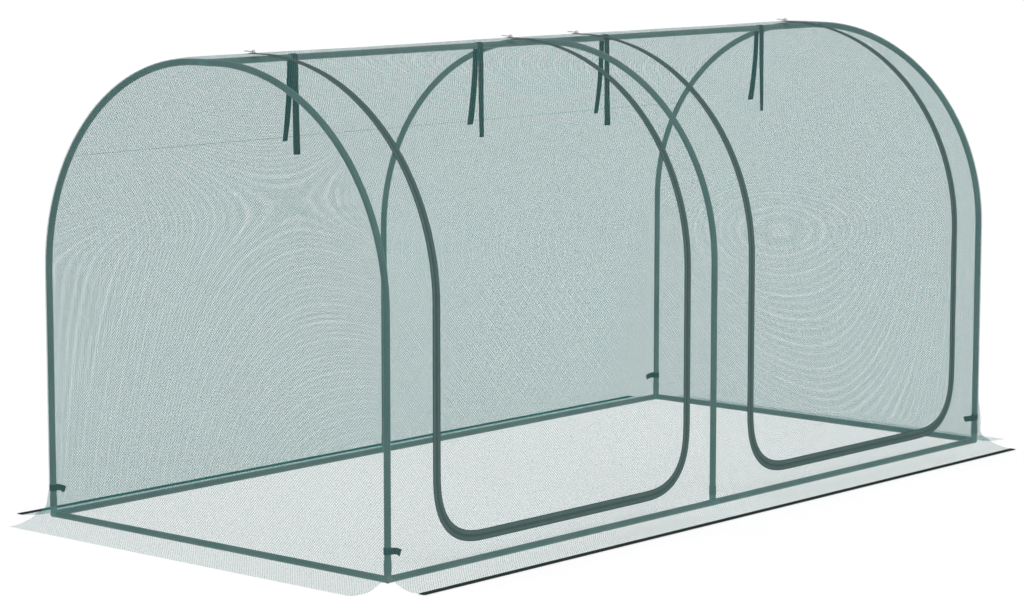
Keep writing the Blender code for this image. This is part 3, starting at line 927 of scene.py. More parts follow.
@dataclass(frozen=True)
class Finishes:
    """Every material of the cage, made once."""

    coat: bpy.types.Material
    plastic: bpy.types.Material
    net: bpy.types.Material
    seam: bpy.types.Material
    zip_tape: bpy.types.Material
    coil: bpy.types.Material
    ribbon: bpy.types.Material
    hem: bpy.types.Material
    metal: bpy.types.Material

    @classmethod
    def make(cls) -> "Finishes":
        """Makes all of them.

        Returns:
            The set of materials.
        """
        return cls(
            coat=PowderCoat().make(),
            plastic=MouldedPlastic().make(),
            net=KnitNet().make(),
            seam=KnitNet("green_net_seam", pitch=0.0034, thread=0.0007, cross_thread=0.0007,
                         fine_thread=0.0001, knot=0.0006).make(),
            zip_tape=WovenTape("zip_tape", width=0.026, middle=(0.080, 0.138, 0.130),
                               edge=(0.046, 0.086, 0.081), thread=(0.105, 0.175, 0.165),
                               stitch_lines=(0.0104,)).make(),
            coil=ZipCoil().make(),
            ribbon=WovenTape("ribbon_tape", width=0.0195, middle=(0.036, 0.025, 0.024),
                             edge=(0.026, 0.019, 0.018), thread=(0.050, 0.047, 0.045), dots=0.0042).make(),
            hem=WovenTape("hem_tape", width=0.046, middle=(0.018, 0.032, 0.029), edge=(0.014, 0.025, 0.023),
                          thread=(0.030, 0.048, 0.044), stitch_lines=(0.0035,), rib=0.0016).make(),
            metal=CastZipMetal().make(),
        )


@dataclass
class ClothMesh:
    """A mesh laid out in strips, in which each corner knows its place on the flat cloth."""

    name: str
    finishes: Sequence[bpy.types.Material]
    points: list[Vector] = field(default_factory=list)
    flat: list[Flat] = field(default_factory=list)
    faces: list[tuple[int, int, int, int]] = field(default_factory=list)
    choices: list[int] = field(default_factory=list)
    weld: float = 0.00002

    def strip(self, rows: Sequence[Sequence[Corner]], choice: int = 0) -> None:
        """Adds quads between rows of corners.

        Args:
            rows: Rows of the same length.
            choice: Which of the finishes they get.
        """
        for row in rows:
            for point, flat in row:
                self.points.append(point)
                self.flat.append(flat)
        wide = len(rows[0])
        first = len(self.points) - wide * len(rows)
        for down in range(len(rows) - 1):
            for right in range(wide - 1):
                start = first + down * wide + right
                self.faces.append((start, start + 1, start + wide + 1, start + wide))
                self.choices.append(choice)

    def finish(self, thickness: float = 0.0) -> bpy.types.Object:
        """Welds the strips into one object.

        Args:
            thickness: Above 0, the cloth gets this thickness.

        Returns:
            The object, smooth, with its finishes.
        """
        mesh = bpy.data.meshes.new(self.name)
        mesh.from_pydata(self.points, [], self.faces)
        layer = mesh.attributes.new("cloth", "FLOAT_VECTOR", "POINT")
        layer.data.foreach_set("vector", [part for u, v in self.flat for part in (u, v, 0.0)])
        for material in self.finishes:
            mesh.materials.append(material)
        mesh.polygons.foreach_set("material_index", self.choices)
        work = bmesh.new()
        work.from_mesh(mesh)
        bmesh.ops.remove_doubles(work, verts=work.verts, dist=self.weld)
        bmesh.ops.recalc_face_normals(work, faces=work.faces)
        work.to_mesh(mesh)
        work.free()
        mesh.shade_smooth()
        piece = bpy.data.objects.new(self.name, mesh)
        bpy.context.scene.collection.objects.link(piece)
        if thickness:
            wall = piece.modifiers.new("thickness", "SOLIDIFY")
            wall.thickness = thickness
            wall.offset = 0.0
        return piece


def let_light_through(piece: bpy.types.Object) -> bpy.types.Object:
    """Keeps a net or a thin tube from casting a shadow, as they hardly do in light from all round.

    Args:
        piece: The piece.

    Returns:
        The same piece.
    """
    piece.visible_shadow = False
    piece.visible_diffuse = False
    return piece


def report(piece: bpy.types.Object, body: str, *nodes: str, slot: str | None = None) -> bpy.types.Object:
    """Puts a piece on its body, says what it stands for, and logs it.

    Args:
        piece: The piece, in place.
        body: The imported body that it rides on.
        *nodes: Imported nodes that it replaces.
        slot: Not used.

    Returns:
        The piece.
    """
    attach(piece, body)
    return stand_for(piece, body, nodes)


def stand_for(piece: bpy.types.Object, body: str, nodes: Iterable[str]) -> bpy.types.Object:
    """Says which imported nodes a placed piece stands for, and logs it.

    Args:
        piece: The piece, already riding on its body.
        body: That body's name, for the log.
        nodes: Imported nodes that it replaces.

    Returns:
        The piece.
    """
    for node in nodes:
        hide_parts(node)
    LOG.info("%s rides on %s and replaces %s", piece.name, body, ", ".join(nodes) or "nothing")
    return piece


@dataclass
class TubeFrame:
    """The bent and straight tubes, and the fittings that join them."""

    finishes: Finishes
    nodes: dict[str, bpy.types.Object]
    size: CageSizes = CageSizes()
    sides: int = 24
    bend_steps: int = 30
    straight_steps: int = 8

    def sweep(self, name: str, path: Sequence[Vector], radii: Sequence[float]) -> bpy.types.Object:
        """A tube along a path that lies in one plane.

        Args:
            name: The piece's name.
            path: Its middle line.
            radii: Its radius at each point of the path.

        Returns:
            The piece.
        """
        travel = [(after - before).normalized() for before, after in
                  zip([path[0], *path[:-1]], [*path[1:], path[-1]])]
        level = Vector((1, 0, 0)) if abs(travel[0].x) < 0.5 else Vector((0, 1, 0))
        mesh = ClothMesh(name, (self.finishes.coat,))
        ring = spread(0.0, 2 * pi, self.sides)
        rows = []
        for point, heading, radius in zip(path, travel, radii):
            other = heading.cross(level).normalized()
            rows.append([(point + (level * cos(turn) + other * sin(turn)) * radius, (0.0, 0.0))
                         for turn in ring])
        mesh.strip(rows)
        return mesh.finish()

    def hoop_half(self, name: str, x: float, side: Side) -> None:
        """One half of a hoop: leg, bend and short flat top.

        Args:
            name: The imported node's name.
            x: Where the hoop stands.
            side: Which way the leg goes.
        """
        size = self.size
        start = size.rail_z + size.fitting_reach
        radius = size.tube / 2
        path = [(start, radius * size.foot_swell), (start + size.foot_swell_even, radius * size.foot_swell),
                (start + size.foot_swell_length, radius)]
        points = [size.world(x, side.value * size.half_width, height) for height, _ in path]
        radii = [value for _, value in path]
        for turn in spread(pi / 2, 0.0, self.bend_steps):
            points.append(size.world(x, side.value * (size.crown + size.bend_radius * sin(turn)),
                                     size.leg_top + size.bend_radius * cos(turn)))
            radii.append(radius)
        points.append(size.world(x, side.value * size.fitting_reach, size.ridge_z))
        radii.append(radius)
        report(let_light_through(self.sweep(name + "_coated", points, radii)), "cage", name,
               slot="green_tube")

    def straight(self, name: str, first: tuple[float, float, float],
                 last: tuple[float, float, float]) -> None:
        """A straight tube between two points measured from the middle of the frame.

        Args:
            name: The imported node's name.
            first: Its first end.
            last: Its last end.
        """
        start, stop = self.size.world(*first), self.size.world(*last)
        points = [start.lerp(stop, share) for share in spread(0.0, 1.0, self.straight_steps)]
        tube = self.sweep(name + "_coated", points, [self.size.tube / 2] * len(points))
        report(let_light_through(tube), "cage", name, slot="green_tube")

    def build(self) -> None:
        """Builds every tube and dresses the fittings."""
        size = self.size
        for word, x in (("near", -size.bay), ("middle", 0.0), ("far", size.bay)):
            for side in Side:
                self.hoop_half(f"{word}_hoop_{side.name.lower()}_half", x, side)
        reach = size.fitting_reach
        for end in End:
            word = end.name.lower()
            inner, outer = end.value * reach, end.value * (size.bay - reach)
            self.straight("ridge_tube_" + word, (inner, 0.0, size.ridge_z), (outer, 0.0, size.ridge_z))
            for side in Side:
                y = side.value * size.half_width
                self.straight(f"{side.name.lower()}_rail_{word}", (inner, y, size.rail_z),
                              (outer, y, size.rail_z))
            x = end.value * size.bay
            wide = size.half_width - reach
            self.straight(word + "_end_rail", (x, -wide, size.rail_z), (x, wide, size.rail_z))
        for name, node in self.nodes.items():
            if name.endswith(("_fitting", "_tee", "_cross")):
                node.data.materials.clear()
                node.data.materials.append(self.finishes.plastic)
                let_light_through(node)
                LOG.info("%s keeps its packed shape, dressed in moulded plastic", name)


@dataclass
class NetCover:
    """The sewn cloths of the cover with their skirts, and the seams between them.

    The lengths are those of the flat cloths, and width is theirs along the cage. The openings are cut
    outside the zips' middle lines, and a round corner of one leaves corner_left of its square as cloth.
    """

    finishes: Finishes
    plans: Sequence[DoorPlan]
    cover: Cover = Cover()
    width: float = 2.41
    front_length: float = 1.585
    roof_length: float = 0.63
    back_length: float = 0.99
    corner_left: float = 0.1364
    outside: float = 0.001
    slack: float = 0.0022
    crown_run: float = 0.12
    foot_run: float = 0.15
    seam_section: tuple[Flat, ...] = (
        (-0.0010, 0.0003), (-0.0006, 0.0009), (0.0006, 0.0009), (0.0010, 0.0003))
    seam_end: float = 1.2041
    seam_steps: int = 60
    wide_steps: int = 48
    front_steps: tuple[int, ...] = (6, 14, 8, 14, 6)
    rim: tuple[float, ...] = (0.0, 0.003, 0.006, 0.009, 0.0121, 0.021, 0.032, 0.044)

    @property
    def back_seam(self) -> float:
        """s of the seam between the roof and the back cloth, without its sign."""
        return self.cover.size.crown + self.cover.bend * radians(self.cover.size.back_seam_turn)

    def sag(self, x: float, s: float) -> float:
        """How far the cloth hangs in between the hoops, with a few soft ripples.

        Args:
            x: Along the cage.
            s: Down the cloth.

        Returns:
            The distance off the taut cloth, negative inward.
        """
        span = sin(pi * min(1.0, abs(x) / self.cover.size.bay)) ** 2
        top = held(abs(s) / self.crown_run)
        foot = held((self.cover.ankle - abs(s)) / self.foot_run)
        ripple = 0.35 * sin(9.0 * x + 3.1 * s) + 0.25 * sin(17.0 * x - 6.3 * s)
        return -self.slack * span * top * foot * (1.0 + ripple)

    def corner(self, x: float, s: float, lift: float = 0.0) -> Corner:
        """A corner of the cloth, pulled against the tube where it passes an end hoop.

        Args:
            x: Its place along the flat cloth.
            s: Its place down the flat cloth.
            lift: How far it stands off the cloth.

        Returns:
            The point, and its place on the flat cloth.
        """
        size = self.cover.size
        end, side = (End.FAR if x > 0 else End.NEAR), (Side.FRONT if s > 0 else Side.BACK)
        reach, height = self.cover.section(abs(s))[:2]
        grip = self.cover.grip(height, end)
        beyond, off = self.cover.hugged(abs(x) - size.bay, size.standoff + size.net / 2, grip, lift)
        point = self.cover.place((size.bay + beyond) * end.value, s, off - size.standoff)
        point.z += self.cover.ruck(end, side, beyond, reach - size.half_width)
        return point, (x, s)

    def across(self, low: float, high: float, s: float, count: int, loose: bool = False,
               ends: Sequence[End] = ()) -> list[Corner]:
        """A row of corners down the cloth's width.

        Args:
            low: The row's least x.
            high: The row's greatest x.
            s: The row's place down the cloth.
            count: How many equal steps it has.
            loose: Whether the cloth hangs in between the hoops.
            ends: The ends at which it turns round a hoop, where the steps are finer.

        Returns:
            The corners.
        """
        first = self.rim[-1] if End.NEAR in ends else 0.0
        last = self.rim[-1] if End.FAR in ends else 0.0
        places = spread(low + first, high - last, count)
        if End.NEAR in ends:
            places = [low + off for off in self.rim[:-1]] + places
        if End.FAR in ends:
            places += [high - off for off in self.rim[-2::-1]]
        return [self.corner(x, s, self.sag(x, s) if loose else 0.0) for x in places]

    def whole(self, name: str, places: Iterable[float]) -> bpy.types.Object:
        """A cloth that is as wide as the cage.

        Args:
            name: The piece's name.
            places: s of its rows.

        Returns:
            The piece, not yet on its body.
        """
        mesh = ClothMesh(name, (self.finishes.net,))
        mesh.strip([self.across(*self.cover.ends(s, Side.BACK), s, self.wide_steps, True, tuple(End))
                    for s in places])
        return let_light_through(mesh.finish())

    def front_cuts(self, s: float, sill: float) -> list[float]:
        """Where the front cloth's strips beside, between and under the doors meet.

        Args:
            s: A row's place down the cloth.
            sill: The openings' last row.

        Returns:
            The row's x, from the near edge over the sides of both doors to the far edge.
        """
        near, far = self.cover.ends(s, Side.FRONT)
        cuts = [near]
        for door in self.plans:
            half = door.half(min(s, sill), -self.outside)
            cuts += [door.middle - half, door.middle + half]
        return [*cuts, far]

    def front(self) -> bpy.types.Object:
        """The front cloth with its two door openings, down to the skirt's edge.

        Returns:
            The piece, on the cage.
        """
        mesh = ClothMesh("front_cloth", (self.finishes.net,))
        size, plan = self.cover.size, self.plans[0]
        upper = self.cover.rows(size.crown, plan.corner) + plan.corner_rows(-self.outside)[1:]
        lower = self.cover.rows(upper[-1], self.cover.hem_line(Side.FRONT))
        rounded = {0: (End.NEAR,), len(self.front_steps) - 1: (End.FAR,)}
        for rows, strips in ((upper, (0, 2, 4)), (lower, range(len(self.front_steps)))):
            cuts = [self.front_cuts(s, upper[-1]) for s in rows]
            for strip in strips:
                mesh.strip([self.across(*cut[strip:strip + 2], s, self.front_steps[strip], False,
                                        rounded.get(strip, ())) for s, cut in zip(rows, cuts)])
        piece = let_light_through(mesh.finish())
        area = self.width * self.front_length - 2 * size.door_width * size.opening_length
        area += 4 * self.corner_left * size.door_corner ** 2
        return report(piece, "cage", "front_net", slot="green_net")

    def roof(self) -> bpy.types.Object:
        """The roof cloth, from the front of the crown over the ridge to the seam in the back.

        Returns:
            The piece, on the cage.
        """
        crown = self.cover.size.crown
        down_back = [-s for s in self.cover.rows(crown, self.back_seam)]
        line = [(x, -self.back_seam) for x in spread(-self.seam_end, self.seam_end, self.seam_steps)]
        stitched = self.seam("back_seam", line, (0.0, 1.0))
        piece = self.whole("roof_cloth", [crown, 0.02, 0.0, -0.02] + down_back)
        return report(piece, "cage", "roof_net", slot="green_net")

    def back(self) -> bpy.types.Object:
        """The back cloth, from the seam down to the skirt's edge.

        Returns:
            The piece, on the cage.
        """
        rows = self.cover.rows(self.back_seam, self.cover.hem_line(Side.BACK))
        piece = self.whole("back_cloth", [-s for s in rows])
        return report(piece, "cage", "back_net", slot="green_net")

    def seam(self, name: str, line: Sequence[Flat], aside: Flat) -> bpy.types.Object:
        """A narrow felled seam along a line on the cover.

        Args:
            name: The piece's name.
            line: x and s of the seam's middle line.
            aside: Which way its width goes on the flat cloth: (1, 0) along x, (0, 1) along s.

        Returns:
            The piece, on the cage.
        """
        mesh = ClothMesh(name, (self.finishes.seam,))
        mesh.strip([[self.corner(x + aside[0] * off, s + aside[1] * off, lift)
                     for off, lift in self.seam_section] for x, s in line])
        return report(let_light_through(mesh.finish()), "cage", slot="green_net")

    def build(self) -> None:
        """Builds every cloth of the cover."""
        self.front()
        self.roof()
        self.back()
        for end in End:
            EndCloth(self, end).build()


@dataclass
class EndCloth:
    """An end cloth: straight sides under an arch, turned round the hoop's tube, with its skirt.

    It bows inward up to bow_half from its middle. The bow fades over the lowest bow_foot, and over the last
    bow_top_run below bow_top. The arch fills arch_share of its flat oblong.
    """

    net: NetCover
    end: End
    flat: Flat = (1.16, 1.32)
    arch_share: float = 0.90
    play: float = 0.0003
    slack: float = 0.0018
    bow_half: float = 0.53
    bow_foot: float = 0.2
    bow_top: float = 1.12
    bow_top_run: float = 0.15
    seam_step: float = 0.03
    arch_steps: int = 24
    leg_steps: int = 24
    wide_steps: int = 26
    flare_steps: int = 8
    skirt_steps: int = 6

    @property
    def inner(self) -> float:
        """How far beyond the hoop's middle line the cloth reaches."""
        size = self.net.cover.size
        return size.standoff - size.net / 2 - self.play

    @property
    def edge(self) -> list[float]:
        """Places across the cloth's rim, from its seam inward, measured beyond the hoop's middle line."""
        return [self.inner - off for off in self.net.rim]

    @property
    def outer(self) -> float:
        """How far beyond the hoop the skirt reaches."""
        size = self.net.cover.size
        return size.end_skirt - self.end.value * size.pull

    def bow(self, y: float, z: float) -> float:
        """How far the cloth bows in between its hoop and the ground, with a few soft ripples.

        Args:
            y: Across the flat cloth.
            z: Height on it.

        Returns:
            The distance off the taut cloth, negative inward.
        """
        inside = max(0.0, 1.0 - (y / self.bow_half) ** 2) * held(z / self.bow_foot)
        inside *= held((self.bow_top - z) / self.bow_top_run)
        return -self.slack * inside * (1 + 0.4 * sin(11 * y + 4 * z) + 0.3 * sin(15 * z))

    def tip_inset(self, from_edge: float) -> float:
        """How far the near end skirt's front tip is rounded off.

        Args:
            from_edge: How far the place lies from the skirt's front edge.

        Returns:
            How far the outer edge is drawn in there.
        """
        radius = self.net.cover.size.tip_round
        if self.end is End.FAR or from_edge >= radius:
            return 0.0
        return radius - sqrt(max(0.0, radius ** 2 - (radius - from_edge) ** 2))

    def place(self, y: float, z: float, sideways: float, upward: float, beyond: float) -> Corner:
        """A corner beyond a point of the hoop's middle line.

        Args:
            y: The point's place across the cage.
            z: Its height.
            sideways: The part along y of the direction away from the hoop's inside.
            upward: Its part along z.
            beyond: How far the corner lies that way, on the flat cloth.

        Returns:
            The point, and its place on the flat cloth.
        """
        cover = self.net.cover
        along, off = cover.hugged(beyond, self.inner, cover.grip(z, self.end))
        flat = (y + sideways * beyond, z + upward * beyond)
        x = self.end.value * (cover.size.bay + off + self.bow(*flat))
        return cover.size.world(x, y + sideways * along, z + upward * along), flat

    def row(self, y: float, z: float, sideways: float, upward: float) -> list[Corner]:
        """A row across the cloth from a point of the hoop's middle line to its mirrored point.

        Args:
            y: The point's place across the cage.
            z: Its height.
            sideways: The part along y of the direction away from the hoop's inside.
            upward: Its part along z.

        Returns:
            The corners, with both rims.
        """
        rim = [self.place(y, z, sideways, upward, beyond) for beyond in self.edge]
        mirrored = [self.place(-y, z, -sideways, upward, beyond) for beyond in self.edge]
        reach, level = y + sideways * self.edge[-1], z + upward * self.edge[-1]
        core = [self.place(across, level, 0.0, 0.0, -self.net.cover.size.hug_run)
                for across in spread(-reach, reach, self.wide_steps)[1:-1]]
        return mirrored + core + rim[::-1]

    def wall(self) -> list[list[Corner]]:
        """Rows down the arch and the straight sides, to the flare.

        Returns:
            The rows.
        """
        size = self.net.cover.size
        radius = size.bend_radius
        rows = []
        for turn in spread(0.0, pi / 2, self.arch_steps):
            out, up = sin(turn), cos(turn)
            rows.append(self.row(size.crown + radius * out, size.leg_top + radius * up, out, up))
        ankle = size.flare + size.net / 2
        return rows + [self.row(size.half_width, z, 1.0, 0.0)
                       for z in spread(size.leg_top, ankle, self.leg_steps)[1:]]

    def skirt(self, spots: Sequence[float]) -> list[list[Corner]]:
        """Rows out over the flare and the flat skirt.

        Args:
            spots: Places across a row, from -1 at the front edge to 1 at the back edge.

        Returns:
            The rows.
        """
        size, cover, outer = self.net.cover.size, self.net.cover, self.outer
        marks = [(size.standoff + size.flare * (1 - cos(turn)), size.net / 2 + size.flare * (1 - sin(turn)),
                  size.flare * (turn - sin(turn))) for turn in spread(0.0, pi / 2, self.flare_steps)[1:]]
        start, level, longer = marks[-1]
        marks += [(start + run, level, longer + run)
                  for run in spread(0.0, outer - start, self.skirt_steps)[1:]]
        rows = []
        for reach, z, down in marks:
            low, high = (side.value * (size.half_width + cover.edge(self.end, side, True).at(reach, outer))
                         for side in Side)
            row = []
            for y in (low + (high - low) * (spot + 1) / 2 for spot in spots):
                side = Side.BACK if y > 0 else Side.FRONT
                along, off = cover.hugged(abs(y) - size.half_width, self.inner, cover.grip(z, self.end))
                inset = self.tip_inset(y - low) * max(0.0, (reach - start) / (outer - start)) ** 2
                lift = cover.ruck(self.end, side, reach, along)
                point = size.world(self.end.value * (size.bay + reach + off - size.standoff - inset),
                                   side.value * (size.half_width + along), z + lift)
                row.append((point, (y, z - down)))
            rows.append(row)
        return rows

    def build(self) -> None:
        """Builds the cloth and the seam along its arch."""
        size, cover = self.net.cover.size, self.net.cover
        word = self.end.name.lower()
        wall = self.wall()
        spots = [flat[0] / (size.half_width + self.inner) for _, flat in wall[-1]]
        mesh = ClothMesh(word + "_end_cloth", (self.net.finishes.net,))
        mesh.strip(wall + self.skirt(spots))
        top = size.leg_top + size.bend_radius
        mesh.strip([[self.place(y, top, 0.0, 1.0, beyond) for beyond in self.edge]
                    for y in spread(-size.crown, size.crown, 4)])
        x = self.end.value * (size.bay + size.standoff + size.net / 2)
        down_back = [-s for s in cover.rows(self.seam_step, cover.ankle)[::-1]]
        line = [(x, s) for s in down_back + cover.rows(0.0, cover.ankle)]
        stitched = self.net.seam(word + "_arch_seam", line, (1.0, 0.0))
        piece = let_light_through(mesh.finish())
        report(piece, "cage", word + "_end_net", slot="green_net")


@dataclass
class HemTape:
    """Dark tape folded over the outer edge of the front and the back skirt.

    Its section runs from the hem's inner edge over its upper face, round the skirt's edge and back beneath.
    """

    finishes: Finishes
    cover: Cover = Cover()
    flat: Flat = (0.041, 2.407)
    end_play: float = 0.0006
    inner_edge: float = 0.0010
    turned_in: float = 0.002
    turned_heights: Flat = (0.0013, 0.0002)
    upper: tuple[Flat, ...] = ((0.010, 0.0015), (0.002, 0.0013), (0.0003, 0.0008))
    lower: tuple[Flat, ...] = ((0.001, 0.0003), (0.006, 0.0002))
    first_edge: float = -0.023
    waviness: tuple[Flat, ...] = ((0.00015, 23.0), (0.0001, 61.0))
    steps: int = 120

    def profile(self) -> list[Flat]:
        """The tape's section: how far inward of the skirt's edge each of its points lies, and its height.

        Returns:
            The points, from the inner edge above to the inner edge beneath.
        """
        hem = self.cover.size.hem
        turned = hem - self.turned_in
        above, beneath = self.turned_heights
        return [(hem, self.inner_edge), (turned, above), *self.upper, *self.lower, (turned, beneath)]

    def build(self) -> None:
        """Builds both tapes, each wrapped round its skirt's edge."""
        size = self.cover.size
        profile = self.profile()
        across = [self.first_edge + run for run in runs(profile)]
        reach = size.bay + size.flap - self.end_play
        for side in Side:
            word = side.name.lower()
            outer = self.cover.outer(side)
            mesh = ClothMesh(word + "_hem", (self.finishes.hem,))
            rows = []
            for x in spread(-reach - size.pull, reach - size.pull, self.steps):
                ripple = sum(height * (1 + sin(pace * x)) for height, pace in self.waviness)
                rows.append([(size.world(x, side.value * (outer - inward),
                                         z + (ripple if z > self.inner_edge else 0.0)),
                              (run, x)) for (inward, z), run in zip(profile, across)])
            mesh.strip(rows)
            piece = mesh.finish()
            report(piece, "cage", word + "_hem_tape", slot="dark_tape")


@dataclass
class ZipTape:
    """Woven zip tape with its coil, laid along stations of the zip's middle line."""

    finishes: Finishes
    cover: Cover = Cover()
    flat: Flat = (0.016, 3.9)
    seat: float = 0.0014
    ridge_rise: float = 0.0017
    rise_even: float = 0.03
    rise_run: float = 0.12
    edge_drop: float = 0.0005
    edge_run: float = 0.0008
    coil_height: float = 0.0012
    coil_step: float = 0.0015
    coil_foot: float = 0.0003
    slot: float = -0.0002
    coil: float = 0.0030
    crossing: tuple[float, ...] = (0.0, 0.012, 0.024)

    def rise(self, s: float) -> float:
        """How far the zip stands off the cover under its sliders, at the ridge."""
        return self.ridge_rise * smooth(1 - (abs(s) - self.rise_even) / self.rise_run)

    def profile(self, hand: int) -> list[tuple[float, float, int]]:
        """The section of half a zip.

        Args:
            hand: 1 for the half outside the zip's middle line, -1 for the half inside it.

        Returns:
            Places across and heights, each with the finish of the face that starts there.
        """
        edge = self.cover.size.zip_width / 2
        rows = [(edge, self.seat - self.edge_drop, 0), (edge - self.edge_run, self.seat, 0),
                (self.coil + self.coil_step, self.seat, 0), (self.coil, self.seat, 1)]
        for turn in spread(0.0, pi, 6)[1:-1]:
            rows.append((self.slot + (self.coil - self.slot) * (1 + cos(turn)) / 2,
                         self.seat + self.coil_height * sin(turn), 1))
        rows.append((self.slot, self.seat - self.coil_foot, 1))
        return [(hand * across, lift, choice) for across, lift, choice in rows]

    def lay(self, mesh: ClothMesh, stations: Sequence[Station], hand: int) -> None:
        """Lays half a zip along stations into a mesh.

        Args:
            mesh: The mesh, whose finishes are the tape and the coil.
            stations: The zip's middle line.
            hand: 1 for the outer half, -1 for the inner half.
        """
        profile = self.profile(hand)
        for (start, lift, choice), (stop, next_lift, _) in zip(profile, profile[1:]):
            mesh.strip([[(self.cover.place(at.x + at.out_x * across, at.s + at.out_s * across,
                                           up + self.rise(at.s)), (across, at.along))
                         for across, up in ((start, lift), (stop, next_lift))] for at in stations], choice)

    def fixed(self, plan: DoorPlan) -> bpy.types.Object:
        """The half that stays on the cover, whole where it crosses the ridge.

        Args:
            plan: The door.

        Returns:
            The piece, on the cage.
        """
        mesh = ClothMesh(plan.word + "_zip_on_cover", (self.finishes.zip_tape, self.finishes.coil))
        top = self.cover.size.crown
        for hand in (-1, 1):
            self.lay(mesh, plan.stations(top, plan.sill, hand), 1)
            over = plan.side_stations((-self.cover.size.zip_end, *self.crossing, top), hand)
            for half in (-1, 1):
                self.lay(mesh, over, half)
        piece = mesh.finish()
        return report(piece, "cage", plan.word + "_door_zip_tape", slot="dark_tape")


@dataclass
class ZipDoor:
    """A door's flap as pieces laid across the folds, each with its half of the zip.

    The cloth ends inside the zip's middle line. The foot is the flap's last piece, with the round corners,
    which together take foot_cut off its area.
    """

    finishes: Finishes
    plan: DoorPlan
    zips: ZipTape
    bend: float = 0.010
    inside: float = 0.001
    slack: float = 0.0016
    slack_margin: float = 0.014
    slack_foot: float = 0.10
    foot_length: float = 0.169
    foot_cut: float = 0.0079
    foot_steps: int = 14
    fold_steps: int = 10
    wide_steps: int = 24

    def rows(self, start: float, stop: float, fold: float) -> list[float]:
        """Rows down the flap, close together round a fold.

        Args:
            start: The first row's s.
            stop: The last row's s.
            fold: The fold's s.

        Returns:
            The rows' places.
        """
        cover = self.plan.cover
        low, high = max(start, fold - self.bend), fold + self.bend
        before = cover.rows(start, low)[:-1] if low > start else []
        return before + spread(low, high, self.fold_steps) + cover.rows(high, stop)[1:]

    def cloth(self, name: str, rows: Sequence[float]) -> bpy.types.Object:
        """The net of one piece of the flap.

        Args:
            name: The piece's name.
            rows: s of its rows.

        Returns:
            The piece, not yet on its body.
        """
        mesh = ClothMesh(name, (self.finishes.net,))
        plan = self.plan
        reach = plan.cover.size.door_width / 2 - self.slack_margin
        found = []
        for s in rows:
            half = plan.half(s, self.inside)
            foot = held((plan.sill - s) / self.slack_foot)
            row = []
            for x in spread(-half, half, self.wide_steps):
                ripple = 1 + 0.4 * sin(13 * x + 5 * s) + 0.3 * sin(21 * s)
                lift = -self.slack * max(0.0, 1.0 - (x / reach) ** 2) * foot * ripple
                row.append((plan.cover.place(plan.middle + x, s, lift), (plan.middle + x, s)))
            found.append(row)
        mesh.strip(found)
        return let_light_through(mesh.finish())

    def tape(self, name: str, rows: Sequence[float], last: bool) -> bpy.types.Object:
        """The zip halves on one piece of the flap.

        Args:
            name: The piece's name.
            rows: s of the rows of its net.
            last: Whether it goes on round the corners and along the sill.

        Returns:
            The piece, not yet on its body.
        """
        mesh = ClothMesh(name, (self.finishes.zip_tape, self.finishes.coil))
        for hand in (-1, 1):
            stations = self.plan.stations(rows[0], self.plan.sill, hand) if last \
                else self.plan.side_stations(rows, hand)
            self.zips.lay(mesh, stations, -1)
        return mesh.finish()

    def fold_piece(self, number: int, start: float, stop: float) -> None:
        """Builds a piece of the flap across one fold, from the panel above to the one below, with close
        rows round the fold.

        Args:
            number: The fold's number, from 1 at the ridge.
            start: The piece's first s.
            stop: Its last s.
        """
        cover, word = self.plan.cover, self.plan.word
        fold = cover.size.folds[number - 1]
        below = f"{word}_door_panel_{number}"
        rows = self.rows(start, stop, fold)
        net = self.cloth(f"{word}_flap_{number}", rows)
        tape = self.tape(f"{word}_flap_zip_{number}", rows, False)
        low = start if number == 1 else fold - self.bend
        for piece in (net, tape):
            cover.place(self.plan.middle, low)
            cover.place(self.plan.middle, fold + self.bend)
            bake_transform(piece)
        stand_for(net, below, (below,))
        stand_for(tape, below, ())

    def build(self) -> None:
        """Builds the flap from the crown to the sill."""
        size, word = self.plan.cover.size, self.plan.word
        folds = size.folds
        cuts = [folds[0], *((a + b) / 2 for a, b in zip(folds, folds[1:])), self.plan.corner]
        for number, (start, stop) in enumerate(zip(cuts, cuts[1:])):
            self.fold_piece(number + 1, start, stop)
        rows = self.plan.corner_rows(self.inside, self.foot_steps)
        net = self.cloth(word + "_flap_foot", rows)
        tape = self.tape(word + "_flap_zip_foot", rows, True)
        body = f"{word}_door_panel_{len(folds)}"
        report(net, body, slot="green_net")
        report(tape, body, slot="dark_tape")


